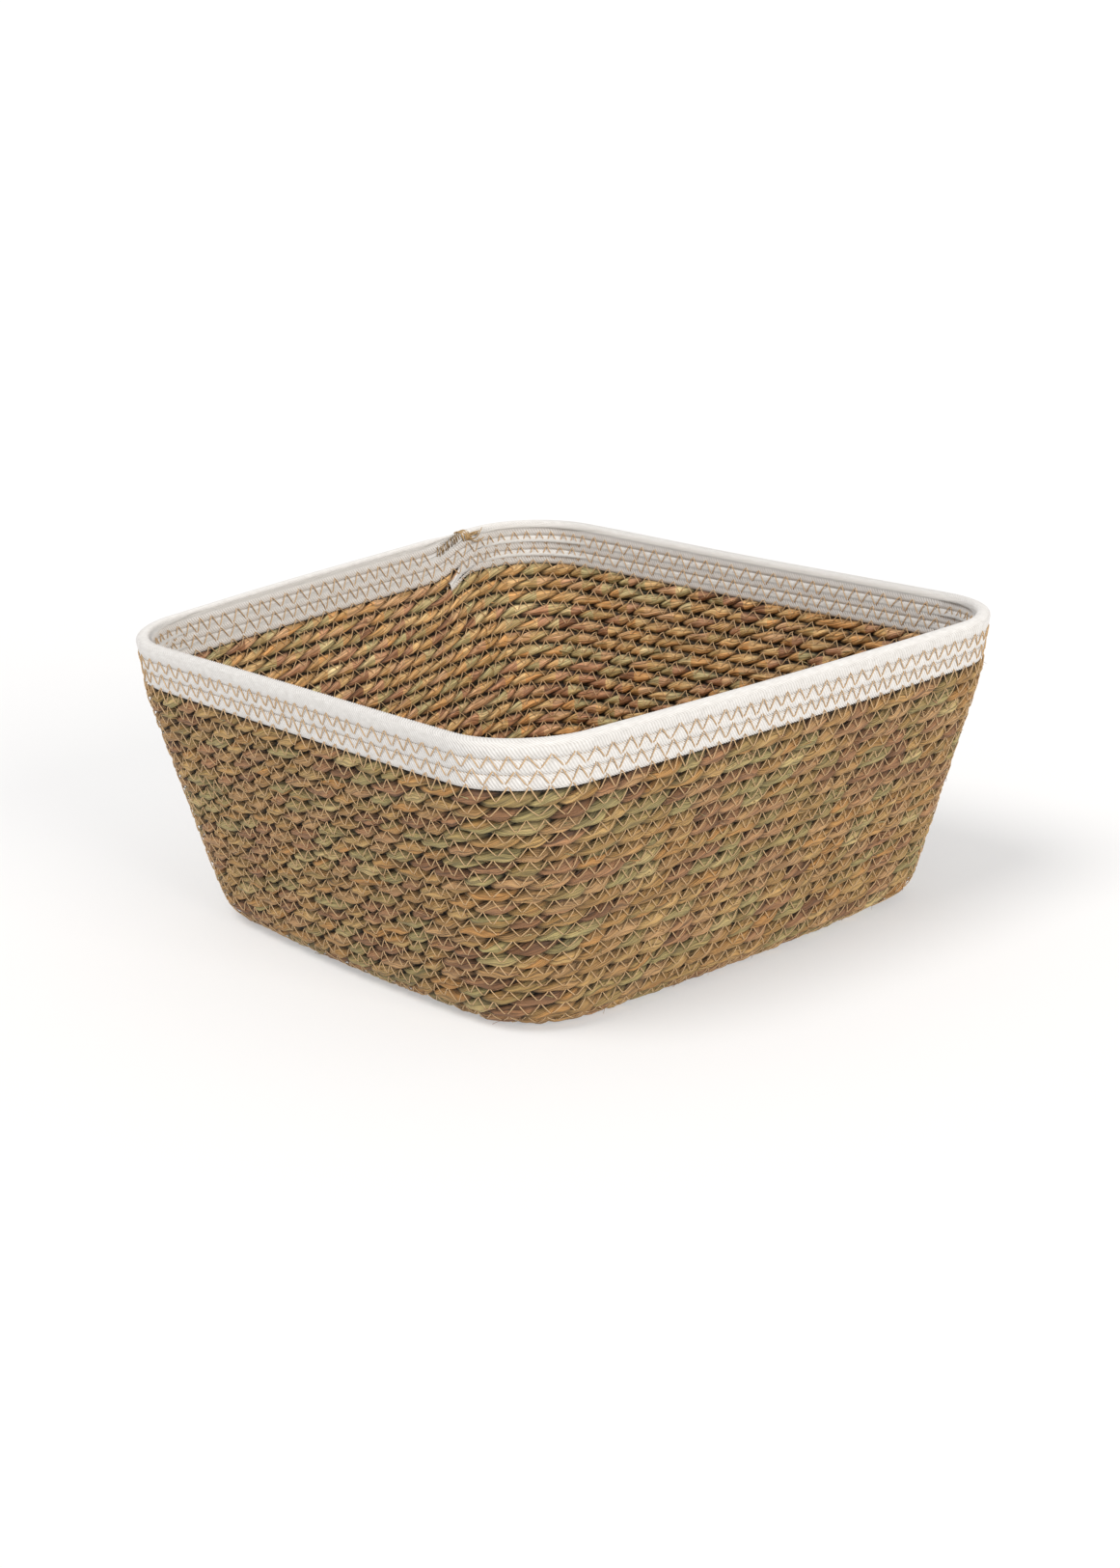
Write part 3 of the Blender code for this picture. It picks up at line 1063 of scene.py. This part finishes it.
    def tube(self, line: np.ndarray, outward: np.ndarray, radius: float | None = None) -> Tube:
        """Return a thin tube along a line of points.

        Args:
            line: The thread's middle.
            outward: The wall's outward direction at each point.
            radius: The tube's radius; the rim thread's own if left out.

        Returns:
            The thread's tube.
        """
        heading = unit(np.gradient(line, axis=0))
        across = unit(np.cross(heading, outward))
        up = np.cross(across, heading)
        angles = ring_angles(self.sides)
        ring = across[:, None] * np.cos(angles)[:, None] + up[:, None] * np.sin(angles)[:, None]
        places = line[:, None] + ring * (radius or self.radius)
        places[..., 2] = np.maximum(places[..., 2], 0.0)
        return places, pattern(running_length(line), angles), np.arange(len(line)) / 4.0

    def build(self, finish: bpy.types.Material) -> None:
        """Build the stitches in bands: the base, three bands of the wall and the rim.

        Args:
            finish: The material of the pieces.
        """
        form = self.path.form
        rope_end = form.rope_end
        wall = list(range(form.base_turns, rope_end - 1))
        third = math.ceil(len(wall) / 3)
        bands = {"base": list(range(1, form.base_turns)), "low_wall": wall[:third],
                 "middle_wall": wall[third:2 * third], "high_wall": wall[2 * third:],
                 "rim": [rope_end - 1, rope_end, rope_end + 1]}
        for face in Face:
            for band, turns in bands.items():
                strands = StrandMesh(self.sides, girth=2 * math.pi * self.radius)
                for turn in turns:
                    final = turn + (1.0 - form.shift_share if turn == rope_end + 1 else 1.0 - 1e-9)
                    strands.add(*self.thread(turn, final, face, 100 + turn + int(50 * face.value)))
                    if turn >= rope_end and face is Face.OUTSIDE:
                        strands.add(*self.groove_line(turn, final, face, 300 + turn))
                name = "stitches_%s_%s" % (band, face.name.lower())
                replaced = ["rim_thread_%s" % face.name.lower()] if band == "rim" else []
                Piece.place(strands.mesh(name), Slot.THREAD, finish, replaced)


@dataclass
class RimEnding:
    """The bar tack on the top seam and the wraps that hold the cord's end."""

    stitching: ZigzagStitching
    tack_length: float = 0.023
    tack_stitches: int = 13
    tack_end: float = 0.007
    tack_rise: float = 0.0024
    tack_drop: float = 0.0024
    wrap_length: float = 0.0062
    wraps: int = 9
    wrap_reach: float = 0.0040
    wrap_angle: float = 1.9
    wrap_points: int = 15
    ends: int = 7
    end_points: int = 9
    end_shortest: float = 0.004
    end_longest: float = 0.011
    knot_rise: float = 0.0012
    knot_along: float = 0.004

    @property
    def form(self) -> BasketForm:
        """Return the basket's form."""
        return self.stitching.path.form

    def tack(self) -> Tube:
        """Return the dense back-and-forth stitches on the top seam.

        Returns:
            The thread's tube.
        """
        end = self.form.all_turns - 1.0 - self.tack_end
        rng = np.random.default_rng(5)
        count = self.tack_stitches * 2
        at = end - self.tack_length / self.form.rim_round * (1.0 - np.linspace(0.0, 1.0, count))
        at = at + rng.normal(0.0, 0.0005, count) / self.form.rim_round
        heights = np.where(np.arange(count) % 2 == 0, -self.tack_drop, self.tack_rise)
        heights = heights * rng.uniform(0.75, 1.15, count)
        surface = self.stitching.surface(at, heights, Face.INSIDE)
        lift = np.maximum(surface, np.roll(surface, 1) * 0.6) + 0.0003 + rng.uniform(0.0, 0.0003, count)
        return self.stitching.tube(*self.stitching.line(at, heights, lift, Face.INSIDE))

    def wrap(self, number: int) -> Tube:
        """Return one turn of thread over the top cord.

        Args:
            number: Which turn it is, from 0.

        Returns:
            The thread's tube.
        """
        rng = np.random.default_rng(70 + number)
        share = 1.0 - self.tack_end + self.wrap_length / self.form.rim_round * (number / self.wraps)
        angle = np.linspace(-self.wrap_angle, self.wrap_angle, self.wrap_points)
        slant = rng.normal(0.0, 0.0012) / self.form.rim_round
        along = np.full(self.wrap_points, self.form.profile_end)
        point, _, up_wall, outward = self.stitching.path.frame(along, share + slant * angle)
        reach = self.wrap_reach + rng.uniform(0.0, 0.0004)
        line = point + up_wall * (reach * np.cos(angle))[:, None]
        line = line + outward * (reach * np.sin(angle))[:, None]
        return self.stitching.tube(line, outward)

    def loose_end(self, number: int) -> Tube:
        """Return one short end of thread that curls out of the knot.

        Args:
            number: Which end it is, from 0.

        Returns:
            The thread's tube.
        """
        rng = np.random.default_rng(90 + number)
        share = np.array([1.0 - self.tack_end + self.knot_along / self.form.rim_round])
        along = np.array([self.form.profile_end])
        point, forward, up_wall, outward = self.stitching.path.frame(along, share)
        run = np.linspace(0.0, 1.0, self.end_points)[:, None]
        reach = rng.uniform(self.end_shortest, self.end_longest)
        curl = rng.normal(0.0, 0.0022, 3)
        line = point - outward * self.wrap_reach + up_wall * (self.knot_rise + curl[0] * run)
        line = line + forward * (reach * run) + outward * (curl[1] * run ** 2 - 0.001 * run)
        line = line + up_wall * (curl[2] * np.sin(3.0 * run))
        return self.stitching.tube(line, np.repeat(outward, self.end_points, 0))

    def build(self, finish: bpy.types.Material) -> None:
        """Build the bar tack and the end wraps.

        Args:
            finish: The material of the pieces.
        """
        threads = [self.wrap(number) for number in range(self.wraps)]
        threads += [self.loose_end(number) for number in range(self.ends)]
        for name, node, tubes in (("bar_tack_stitches", "rim_bar_tack", [self.tack()]),
                                  ("end_wrap_threads", "rim_end_wrap", threads)):
            strands = StrandMesh(self.stitching.sides, girth=0.0022)
            for tube in tubes:
                strands.add(*tube)
            Piece.place(strands.mesh(name), Slot.THREAD, finish, [node])


@dataclass
class FrayedLeaf:
    """Short ends of leaf that have worked out of the twist."""

    rope: SeagrassRope
    count: int = 1200
    sides: int = 4
    rings: int = 6
    shortest: float = 0.0025
    longest: float = 0.0110
    widest: float = 0.0011
    thickness: float = 0.00012
    raised: float = 0.0024

    def end(self, rng: np.random.Generator) -> Tube:
        """Return one leaf end, drawn at random.

        Args:
            rng: The source of the draws.

        Returns:
            The leaf end's flat tube.
        """
        course = self.rope.courses[int(rng.integers(1, len(self.rope.courses)))]
        face = Face.OUTSIDE if rng.random() < 0.62 else Face.INSIDE
        length = rng.uniform(self.shortest, self.longest)
        start = rng.uniform(course.start, course.end - length)
        run = np.linspace(0.0, 1.0, self.rings)
        lengths = start + length * run * rng.uniform(0.6, 1.0)
        turns = course.turn_at(lengths)
        half = course.half_width(turns)
        height = half * (rng.uniform(-0.8, 0.5) + rng.uniform(-0.3, 0.9) * run)
        surface = self.rope.ply.surface(lengths, half, np.clip(height, -0.9 * half, 0.9 * half), face)
        lift = np.maximum(surface, 0.0022) + self.raised * rng.uniform(0.1, 1.0) * run ** 2
        point, _, up_wall, outward = course.frame(turns)
        line = point + up_wall * height[:, None] + outward * (lift * face.value)[:, None]
        across = np.cross(unit(np.gradient(line, axis=0)), outward)
        width = rng.uniform(0.25, 1.0) * self.widest * (1.0 - 0.85 * run ** 2)
        angles = ring_angles(self.sides)
        flat = across[:, None] * (np.cos(angles)[None, :] * width[:, None] / 2)[..., None]
        thick = outward[:, None] * (np.sin(angles) * self.thickness)[None, :, None]
        places = line[:, None] + flat + thick
        places[..., 2] = np.maximum(places[..., 2], 0.0)
        return places, pattern(lengths, angles), np.full(self.rings, rng.uniform(0.0, 4000.0))

    def build(self, finish: bpy.types.Material) -> None:
        """Build all the leaf ends as one piece.

        Args:
            finish: The material of the pieces.
        """
        rng = np.random.default_rng(17)
        strands = StrandMesh(self.sides, girth=0.0022)
        for _ in range(self.count):
            strands.add(*self.end(rng))
        # the leaf ends have no relief of their own, so the finish paints them with its crest highlight
        Piece.place(strands.mesh("frayed_leaf_ends"), Slot.SEAGRASS, finish, [])


class NodeSheet:
    """A short way to add and link shader nodes."""

    def __init__(self, tree: bpy.types.NodeTree) -> None:
        """Keep the tree that nodes are added to."""
        self.tree = tree

    def add(self, kind: str, inputs: dict | None = None, **settings: object) -> bpy.types.Node:
        """Add a node.

        Args:
            kind: The node's type, without the word ShaderNode.
            inputs: Values or sockets for its inputs, by name or number.
            **settings: Properties of the node.

        Returns:
            The new node.
        """
        node = self.tree.nodes.new("ShaderNode" + kind)
        for name, value in settings.items():
            setattr(node, name, value)
        self.fill(node, inputs or {})
        return node

    def fill(self, node: bpy.types.Node, inputs: dict) -> None:
        """Set or link a node's inputs, given by name or number.

        Args:
            node: The node.
            inputs: A value or a socket for each input.
        """
        for name, value in inputs.items():
            if isinstance(value, bpy.types.NodeSocket):
                self.tree.links.new(value, node.inputs[name])
            else:
                node.inputs[name].default_value = value

    def times(self, first: object, second: object) -> bpy.types.NodeSocket:
        """Return the product of two values or sockets."""
        return self.math("MULTIPLY", first, second)

    def plus(self, first: object, second: object) -> bpy.types.NodeSocket:
        """Return the sum of two values or sockets."""
        return self.math("ADD", first, second)

    def less(self, first: object, second: object) -> bpy.types.NodeSocket:
        """Return the first of two values or sockets less the second."""
        return self.math("SUBTRACT", first, second)

    def ranged(self, value: object, start: tuple, end: tuple) -> bpy.types.NodeSocket:
        """Return a value mapped from one range of low and high to another."""
        limits = {"Value": value, 1: start[0], 2: start[1], 3: end[0], 4: end[1]}
        return self.add("MapRange", limits).outputs[0]

    def math(self, operation: str, first: object, second: object = 0.0) -> bpy.types.NodeSocket:
        """Return the result of a math node on two values or sockets."""
        return self.add("Math", {0: first, 1: second}, operation=operation).outputs[0]

    def ramp(self, factor: bpy.types.NodeSocket, stops: tuple) -> bpy.types.NodeSocket:
        """Return the colour of a ramp with stops of place and colour.

        Args:
            factor: Where on the ramp to read.
            stops: Pairs of a place and a colour, in order.

        Returns:
            The colour's socket.
        """
        node = self.add("ValToRGB", {"Fac": factor})
        places = node.color_ramp.elements
        while len(places) < len(stops):
            places.new(0.5)
        for element, (place, colour) in zip(places, stops):
            element.position = place
            element.color = (*colour, 1.0)
        return node.outputs["Color"]


class MaterialSheet(NodeSheet):
    """The node sheet of a new material."""

    def __init__(self, name: str) -> None:
        """Make the material.

        Args:
            name: The material's name.
        """
        self.material = bpy.data.materials.new(name)
        self.material.use_nodes = True
        super().__init__(self.material.node_tree)

    def finish(self, colour: object, roughness: object, height: bpy.types.NodeSocket,
               depth: float, strength: float) -> bpy.types.Material:
        """Set up the shader.

        Args:
            colour: The base colour's socket.
            roughness: The roughness, as a value or a socket.
            height: The relief that the bump shows.
            depth: How deep the relief is, in metres.
            strength: How strong the bump is.

        Returns:
            The material.
        """
        bump = self.add("Bump", {"Height": height, "Distance": depth, "Strength": strength})
        self.fill(self.tree.nodes["Principled BSDF"],
                  {"Base Color": colour, "Roughness": roughness, "Normal": bump.outputs[0]})
        return self.material


class FibreStreaks:
    """A node group of long thin streaks, which follow a strand."""

    NAME = "fibre_streaks"

    @classmethod
    def group(cls) -> bpy.types.NodeTree:
        """Return the group, built the first time that it is asked for.

        Returns:
            The node group.
        """
        found = bpy.data.node_groups.get(cls.NAME)
        if found:
            return found
        tree = bpy.data.node_groups.new(cls.NAME, "ShaderNodeTree")
        for name, value in (("Along Scale", 90.0), ("Around Scale", 9.0), ("Detail", 3.0)):
            socket = tree.interface.new_socket(name, in_out="INPUT", socket_type="NodeSocketFloat")
            socket.default_value = value
        for name in ("Streak", "Vein"):
            tree.interface.new_socket(name, in_out="OUTPUT", socket_type="NodeSocketFloat")
        sheet = NodeSheet(tree)
        source = tree.nodes.new("NodeGroupInput")
        strand = sheet.add("UVMap", uv_map="Strand").outputs["UV"]
        parts = sheet.add("SeparateXYZ", {0: strand})
        along = sheet.times(parts.outputs[0], source.outputs["Along Scale"])
        around = sheet.times(parts.outputs[1], source.outputs["Around Scale"])
        place = sheet.add("CombineXYZ", {0: along, 1: around}).outputs[0]
        broad = sheet.add("TexNoise", {"Vector": place, "Scale": 1.0, "Detail": source.outputs["Detail"]})
        place = sheet.add("CombineXYZ", {0: along, 1: sheet.times(around, 3.2), 2: 7.0}).outputs[0]
        fine = sheet.add("TexNoise", {"Vector": place, "Scale": 1.0, "Detail": 2.0}).outputs["Fac"]
        streak = sheet.plus(sheet.times(broad.outputs["Fac"], 0.55), sheet.times(fine, 0.45))
        vein = sheet.ranged(fine, (0.36, 0.46), (0.0, 1.0))
        sink = tree.nodes.new("NodeGroupOutput")
        sheet.fill(sink, {"Streak": streak, "Vein": vein})
        return tree

    @classmethod
    def use(cls, sheet: NodeSheet, along: float, around: float, detail: float = 3.0) -> bpy.types.Node:
        """Add the group to a material with its own scales."""
        scales = {"Along Scale": along, "Around Scale": around, "Detail": detail}
        return sheet.add("Group", scales, node_tree=cls.group())


@dataclass(frozen=True)
class SeagrassFinish:
    """Dried seagrass leaf: each lobe has its own tone, streaked lengthwise, with painted shade in the
    grooves, along the leaf creases and over the outside face, and painted highlight on the crests.
    """

    tones: tuple = ((0.00, (0.210, 0.100, 0.048)), (0.15, (0.440, 0.235, 0.130)),
                    (0.28, (0.560, 0.350, 0.185)), (0.40, (0.420, 0.240, 0.088)),
                    (0.52, (0.600, 0.410, 0.190)), (0.63, (0.540, 0.280, 0.100)),
                    (0.74, (0.400, 0.275, 0.115)), (0.86, (0.400, 0.340, 0.165)),
                    (1.00, (0.620, 0.480, 0.250)))
    strips: int = 5
    # painted shade: the outside face of the wall is painted darker by this share
    outside_painted_shade: float = 0.45
    outside_shade_tint: tuple = (0.05, 0.21)  # of green and blue, cut on the outside face as a painted shade tint
    # painted shade and highlight: the colour is scaled by these from the grooves to the crests
    groove_shade_to_crest_light: tuple = (0.07, 1.50)
    roughness: float = 0.60
    bump: float = 0.8

    def material(self) -> bpy.types.Material:
        """Return the finish as a material.

        Returns:
            The material.
        """
        sheet = MaterialSheet("seagrass_leaf")
        lobe = sheet.add("Attribute", attribute_name="lobe").outputs["Fac"]
        relief = sheet.add("Attribute", attribute_name="relief").outputs["Fac"]
        strand = sheet.add("UVMap", uv_map="Strand").outputs["UV"]
        strips = sheet.times(sheet.add("SeparateXYZ", {0: strand}).outputs[1], float(self.strips))
        base = self.leaf_colour(sheet, sheet.math("FLOOR", lobe), sheet.math("FLOOR", strips))
        streaks = FibreStreaks.use(sheet, 60.0, 12.0).outputs
        fibre = sheet.ranged(streaks["Streak"], (0.32, 0.68), (0.50, 1.45))
        edge = sheet.math("ABSOLUTE", sheet.less(sheet.math("FRACT", strips), 0.5))
        # painted shade: the colour darkens along the creases between the leaf strips, where the bump also
        # dips
        seam = sheet.ranged(edge, (0.36, 0.49), (1.0, 0.62))
        vein = sheet.plus(sheet.times(streaks["Vein"], 0.30), 0.70)
        height = sheet.times(sheet.times(fibre, vein), seam)
        outside = sheet.math("GREATER_THAN", relief, 1.5)
        relief = sheet.less(relief, sheet.times(outside, 2.0))
        # painted shade in the grooves and painted highlight on the crests, read from how proud each point
        # stands
        shade = sheet.ranged(relief, (0.42, 0.92), self.groove_shade_to_crest_light)
        # painted shade: the outside face is painted darker again
        shade = sheet.times(shade, sheet.less(1.0, sheet.times(outside, self.outside_painted_shade)))
        scale = {0: base, "Scale": sheet.times(height, shade)}
        colour = sheet.add("VectorMath", scale, operation="SCALE").outputs[0]
        # painted shade tint: the outside face loses some of its green and blue
        green, blue = (sheet.less(1.0, sheet.times(outside, loss)) for loss in self.outside_shade_tint)
        tint = sheet.add("CombineXYZ", {0: 1.0, 1: green, 2: blue}).outputs[0]
        colour = sheet.add("VectorMath", {0: colour, 1: tint}, operation="MULTIPLY").outputs[0]
        rough = (self.roughness - 0.12, self.roughness + 0.15)
        rough = sheet.ranged(streaks["Streak"], (0.3, 0.7), rough)
        return sheet.finish(colour, rough, height, 0.0005, self.bump)

    def leaf_colour(self, sheet: NodeSheet, lobe: bpy.types.NodeSocket,
                    strip: bpy.types.NodeSocket) -> bpy.types.NodeSocket:
        """Return a colour drawn for each leaf.

        Args:
            sheet: The material's node sheet.
            lobe: The whole number of the lobe.
            strip: The whole number of the leaf strip round the ply.

        Returns:
            The colour's socket.
        """
        place = sheet.add("CombineXYZ", {0: lobe, 1: strip}).outputs[0]
        leaf_draw = sheet.add("TexWhiteNoise", {"Vector": place}, noise_dimensions="2D").outputs["Value"]
        lobe_draw = sheet.add("TexWhiteNoise", {"W": lobe}, noise_dimensions="1D").outputs["Value"]
        patches = FibreStreaks.use(sheet, 26.0, 2.4, 1.0).outputs["Streak"]
        tone = sheet.plus(sheet.times(lobe_draw, 0.88), sheet.times(leaf_draw, 0.20))
        tone = sheet.plus(tone, sheet.times(patches, 0.24))
        return sheet.ramp(sheet.less(tone, 0.16), self.tones)


@dataclass(frozen=True)
class PaperCordFinish:
    """White twisted paper: matt, with faint grey shade painted into the creases between the twist's
    ridges.
    """

    light: tuple = (0.842, 0.826, 0.802)
    # painted shade: the grey reached in the creases between the ridges, and in the darkest fibre streaks
    dark: tuple = (0.540, 0.515, 0.485)
    roughness: float = 0.72

    def material(self) -> bpy.types.Material:
        """Return the finish as a material.

        Returns:
            The material.
        """
        sheet = MaterialSheet("white_paper_cord")
        lobe = sheet.add("Attribute", attribute_name="lobe").outputs["Fac"]
        # painted shade: the colour greys towards the grooves between the twist's ridges
        painted_crease_shade = sheet.math("ABSOLUTE", sheet.less(sheet.math("FRACT", lobe), 0.5))
        streak = FibreStreaks.use(sheet, 260.0, 8.0).outputs["Streak"]
        shade = sheet.plus(sheet.times(painted_crease_shade, 0.5), sheet.times(streak, 0.5))
        colour = sheet.ramp(shade, ((0.18, self.light), (0.62, self.dark)))
        rough = sheet.ranged(streak, (0.0, 1.0), (self.roughness - 0.08, self.roughness + 0.12))
        return sheet.finish(colour, rough, streak, 0.00012, 0.5)


@dataclass(frozen=True)
class ThreadFinish:
    """Tan sewing thread with a fine twist and a slight sheen."""

    name: str
    light: tuple
    dark: tuple
    roughness: float = 0.5
    twists: float = 1500.0

    def material(self) -> bpy.types.Material:
        """Return the finish as a material.

        Returns:
            The material.
        """
        sheet = MaterialSheet(self.name)
        strand = sheet.add("UVMap", uv_map="Strand").outputs["UV"]
        parts = sheet.add("SeparateXYZ", {0: strand}).outputs
        twist = sheet.plus(sheet.times(parts[0], self.twists), parts[1])
        wave = sheet.math("SINE", sheet.times(twist, 2.0 * math.pi))
        streak = FibreStreaks.use(sheet, 120.0, 3.0).outputs["Streak"]
        # painted shade: the colour darkens a little along the twist's grooves, beside the fibre's own
        # streaks
        shade = sheet.plus(sheet.times(wave, 0.12), streak)
        colour = sheet.ramp(shade, ((0.25, self.dark), (0.75, self.light)))
        return sheet.finish(colour, self.roughness, wave, 0.00005, 0.4)


@dataclass
class Studio:
    """The pale floor, the soft lights and the camera."""

    azimuth: float = 45.615
    elevation: float = 17.647
    roll: float = -1.341
    distance: float = 1.400
    aim: tuple = (0.0043, 0.0044, 0.0610)
    lens: float = 65.584
    sensor: float = 36.0
    floor_size: float = 60.0
    floor_colour: tuple = (0.560, 0.556, 0.552)
    floor_glow: float = 0.385
    room_light: float = 0.55
    backdrop: float = 0.935

    def floor(self) -> None:
        """Lay the pale floor that the basket stands on."""
        bm = bmesh.new()
        bmesh.ops.create_grid(bm, x_segments=1, y_segments=1, size=self.floor_size / 2)
        mesh = bpy.data.meshes.new("studio_floor")
        bm.to_mesh(mesh)
        bm.free()
        floor = bpy.data.objects.new("studio_floor", mesh)
        paper = MaterialSheet("studio_paper")
        paper.fill(paper.tree.nodes["Principled BSDF"],
                   {"Base Color": (*self.floor_colour, 1.0), "Roughness": 0.9, "Specular IOR Level": 0.0,
                    "Emission Color": (1.0, 1.0, 1.0, 1.0), "Emission Strength": self.floor_glow})
        mesh.materials.append(paper.material)
        bpy.context.scene.collection.objects.link(floor)

    def sun(self, name: str, heading: tuple, strength: float, spread: float, colour: tuple) -> None:
        """Add a wide, even light.

        Args:
            name: The light's name.
            heading: The direction that it comes from.
            strength: Its brightness.
            spread: Its width in degrees, which softens its shadows.
            colour: Its colour.
        """
        data = bpy.data.lights.new(name, "SUN")
        data.energy = strength
        data.angle = math.radians(spread)
        data.color = colour
        light = bpy.data.objects.new(name, data)
        light.rotation_euler = Vector(heading).to_track_quat("Z", "Y").to_euler()
        bpy.context.scene.collection.objects.link(light)

    def lights(self) -> None:
        """Add the room's even light and the two soft lights."""
        world = bpy.data.worlds.new("studio_room")
        bpy.context.scene.world = world
        world.use_nodes = True
        sheet = NodeSheet(world.node_tree)
        room = world.node_tree.nodes["Background"]
        room.inputs["Color"].default_value = (0.985, 0.985, 1.0, 1.0)
        seen = sheet.add("LightPath").outputs["Is Camera Ray"]
        strength = sheet.ranged(seen, (0.0, 1.0), (self.room_light, self.backdrop))
        sheet.fill(room, {"Strength": strength})
        self.sun("overhead_light", (-0.04, -0.60, 1.0), 1.62, 28.0, (1.0, 0.985, 0.965))
        self.sun("right_light", (0.95, -0.12, 0.36), 1.62, 30.0, (1.0, 0.965, 0.91))

    def camera(self, shift: np.ndarray) -> None:
        """Set up the camera, aimed from the frame's own middle.

        Args:
            shift: The shift that centres the form on the frame.
        """
        data = bpy.data.cameras.new("view")
        data.lens = self.lens
        data.sensor_width = self.sensor
        data.clip_end = 2.0 * self.floor_size
        camera = bpy.data.objects.new("view", data)
        bearing, height = math.radians(self.azimuth), math.radians(self.elevation)
        back = Vector((math.sin(bearing) * math.cos(height), -math.cos(bearing) * math.cos(height),
                       math.sin(height)))
        camera.location = Vector(self.aim) + Vector(shift) + back * self.distance
        level = (-back).to_track_quat("-Z", "Y")
        rolled = level @ Quaternion((0.0, 0.0, 1.0), math.radians(self.roll))
        camera.rotation_euler = rolled.to_euler()
        bpy.context.scene.collection.objects.link(camera)
        bpy.context.scene.camera = camera

    def build(self, shift: np.ndarray) -> None:
        """Set the whole studio up.

        Args:
            shift: The shift that centres the form on the frame.
        """
        self.floor()
        self.lights()
        self.camera(shift)
        bpy.context.scene.view_settings.view_transform = "Standard"


def main() -> None:
    """Build the basket's pieces in order, and the studio round them."""
    logging.basicConfig(level=logging.INFO, format="%(message)s")
    path = WallPath(BasketForm())
    Studio().build(path.shift)
    LOG.info("studio is set up")
    leaf, paper = SeagrassFinish().material(), PaperCordFinish().material()
    thread = ThreadFinish("tan_sewing_thread", (0.68, 0.47, 0.26), (0.46, 0.29, 0.14)).material()
    knot = ThreadFinish("brown_tack_thread", (0.56, 0.38, 0.18), (0.30, 0.18, 0.07)).material()
    rope = SeagrassRope(path, TwoPlyRope())
    rope.build(leaf)
    cord = PaperCord(path)
    cord.build(paper, rope.courses[-1].end)
    stitching = ZigzagStitching(path, rope, cord)
    stitching.build(thread)
    RimEnding(stitching).build(knot)
    FrayedLeaf(rope).build(leaf)


if __name__ == "__main__":
    main()
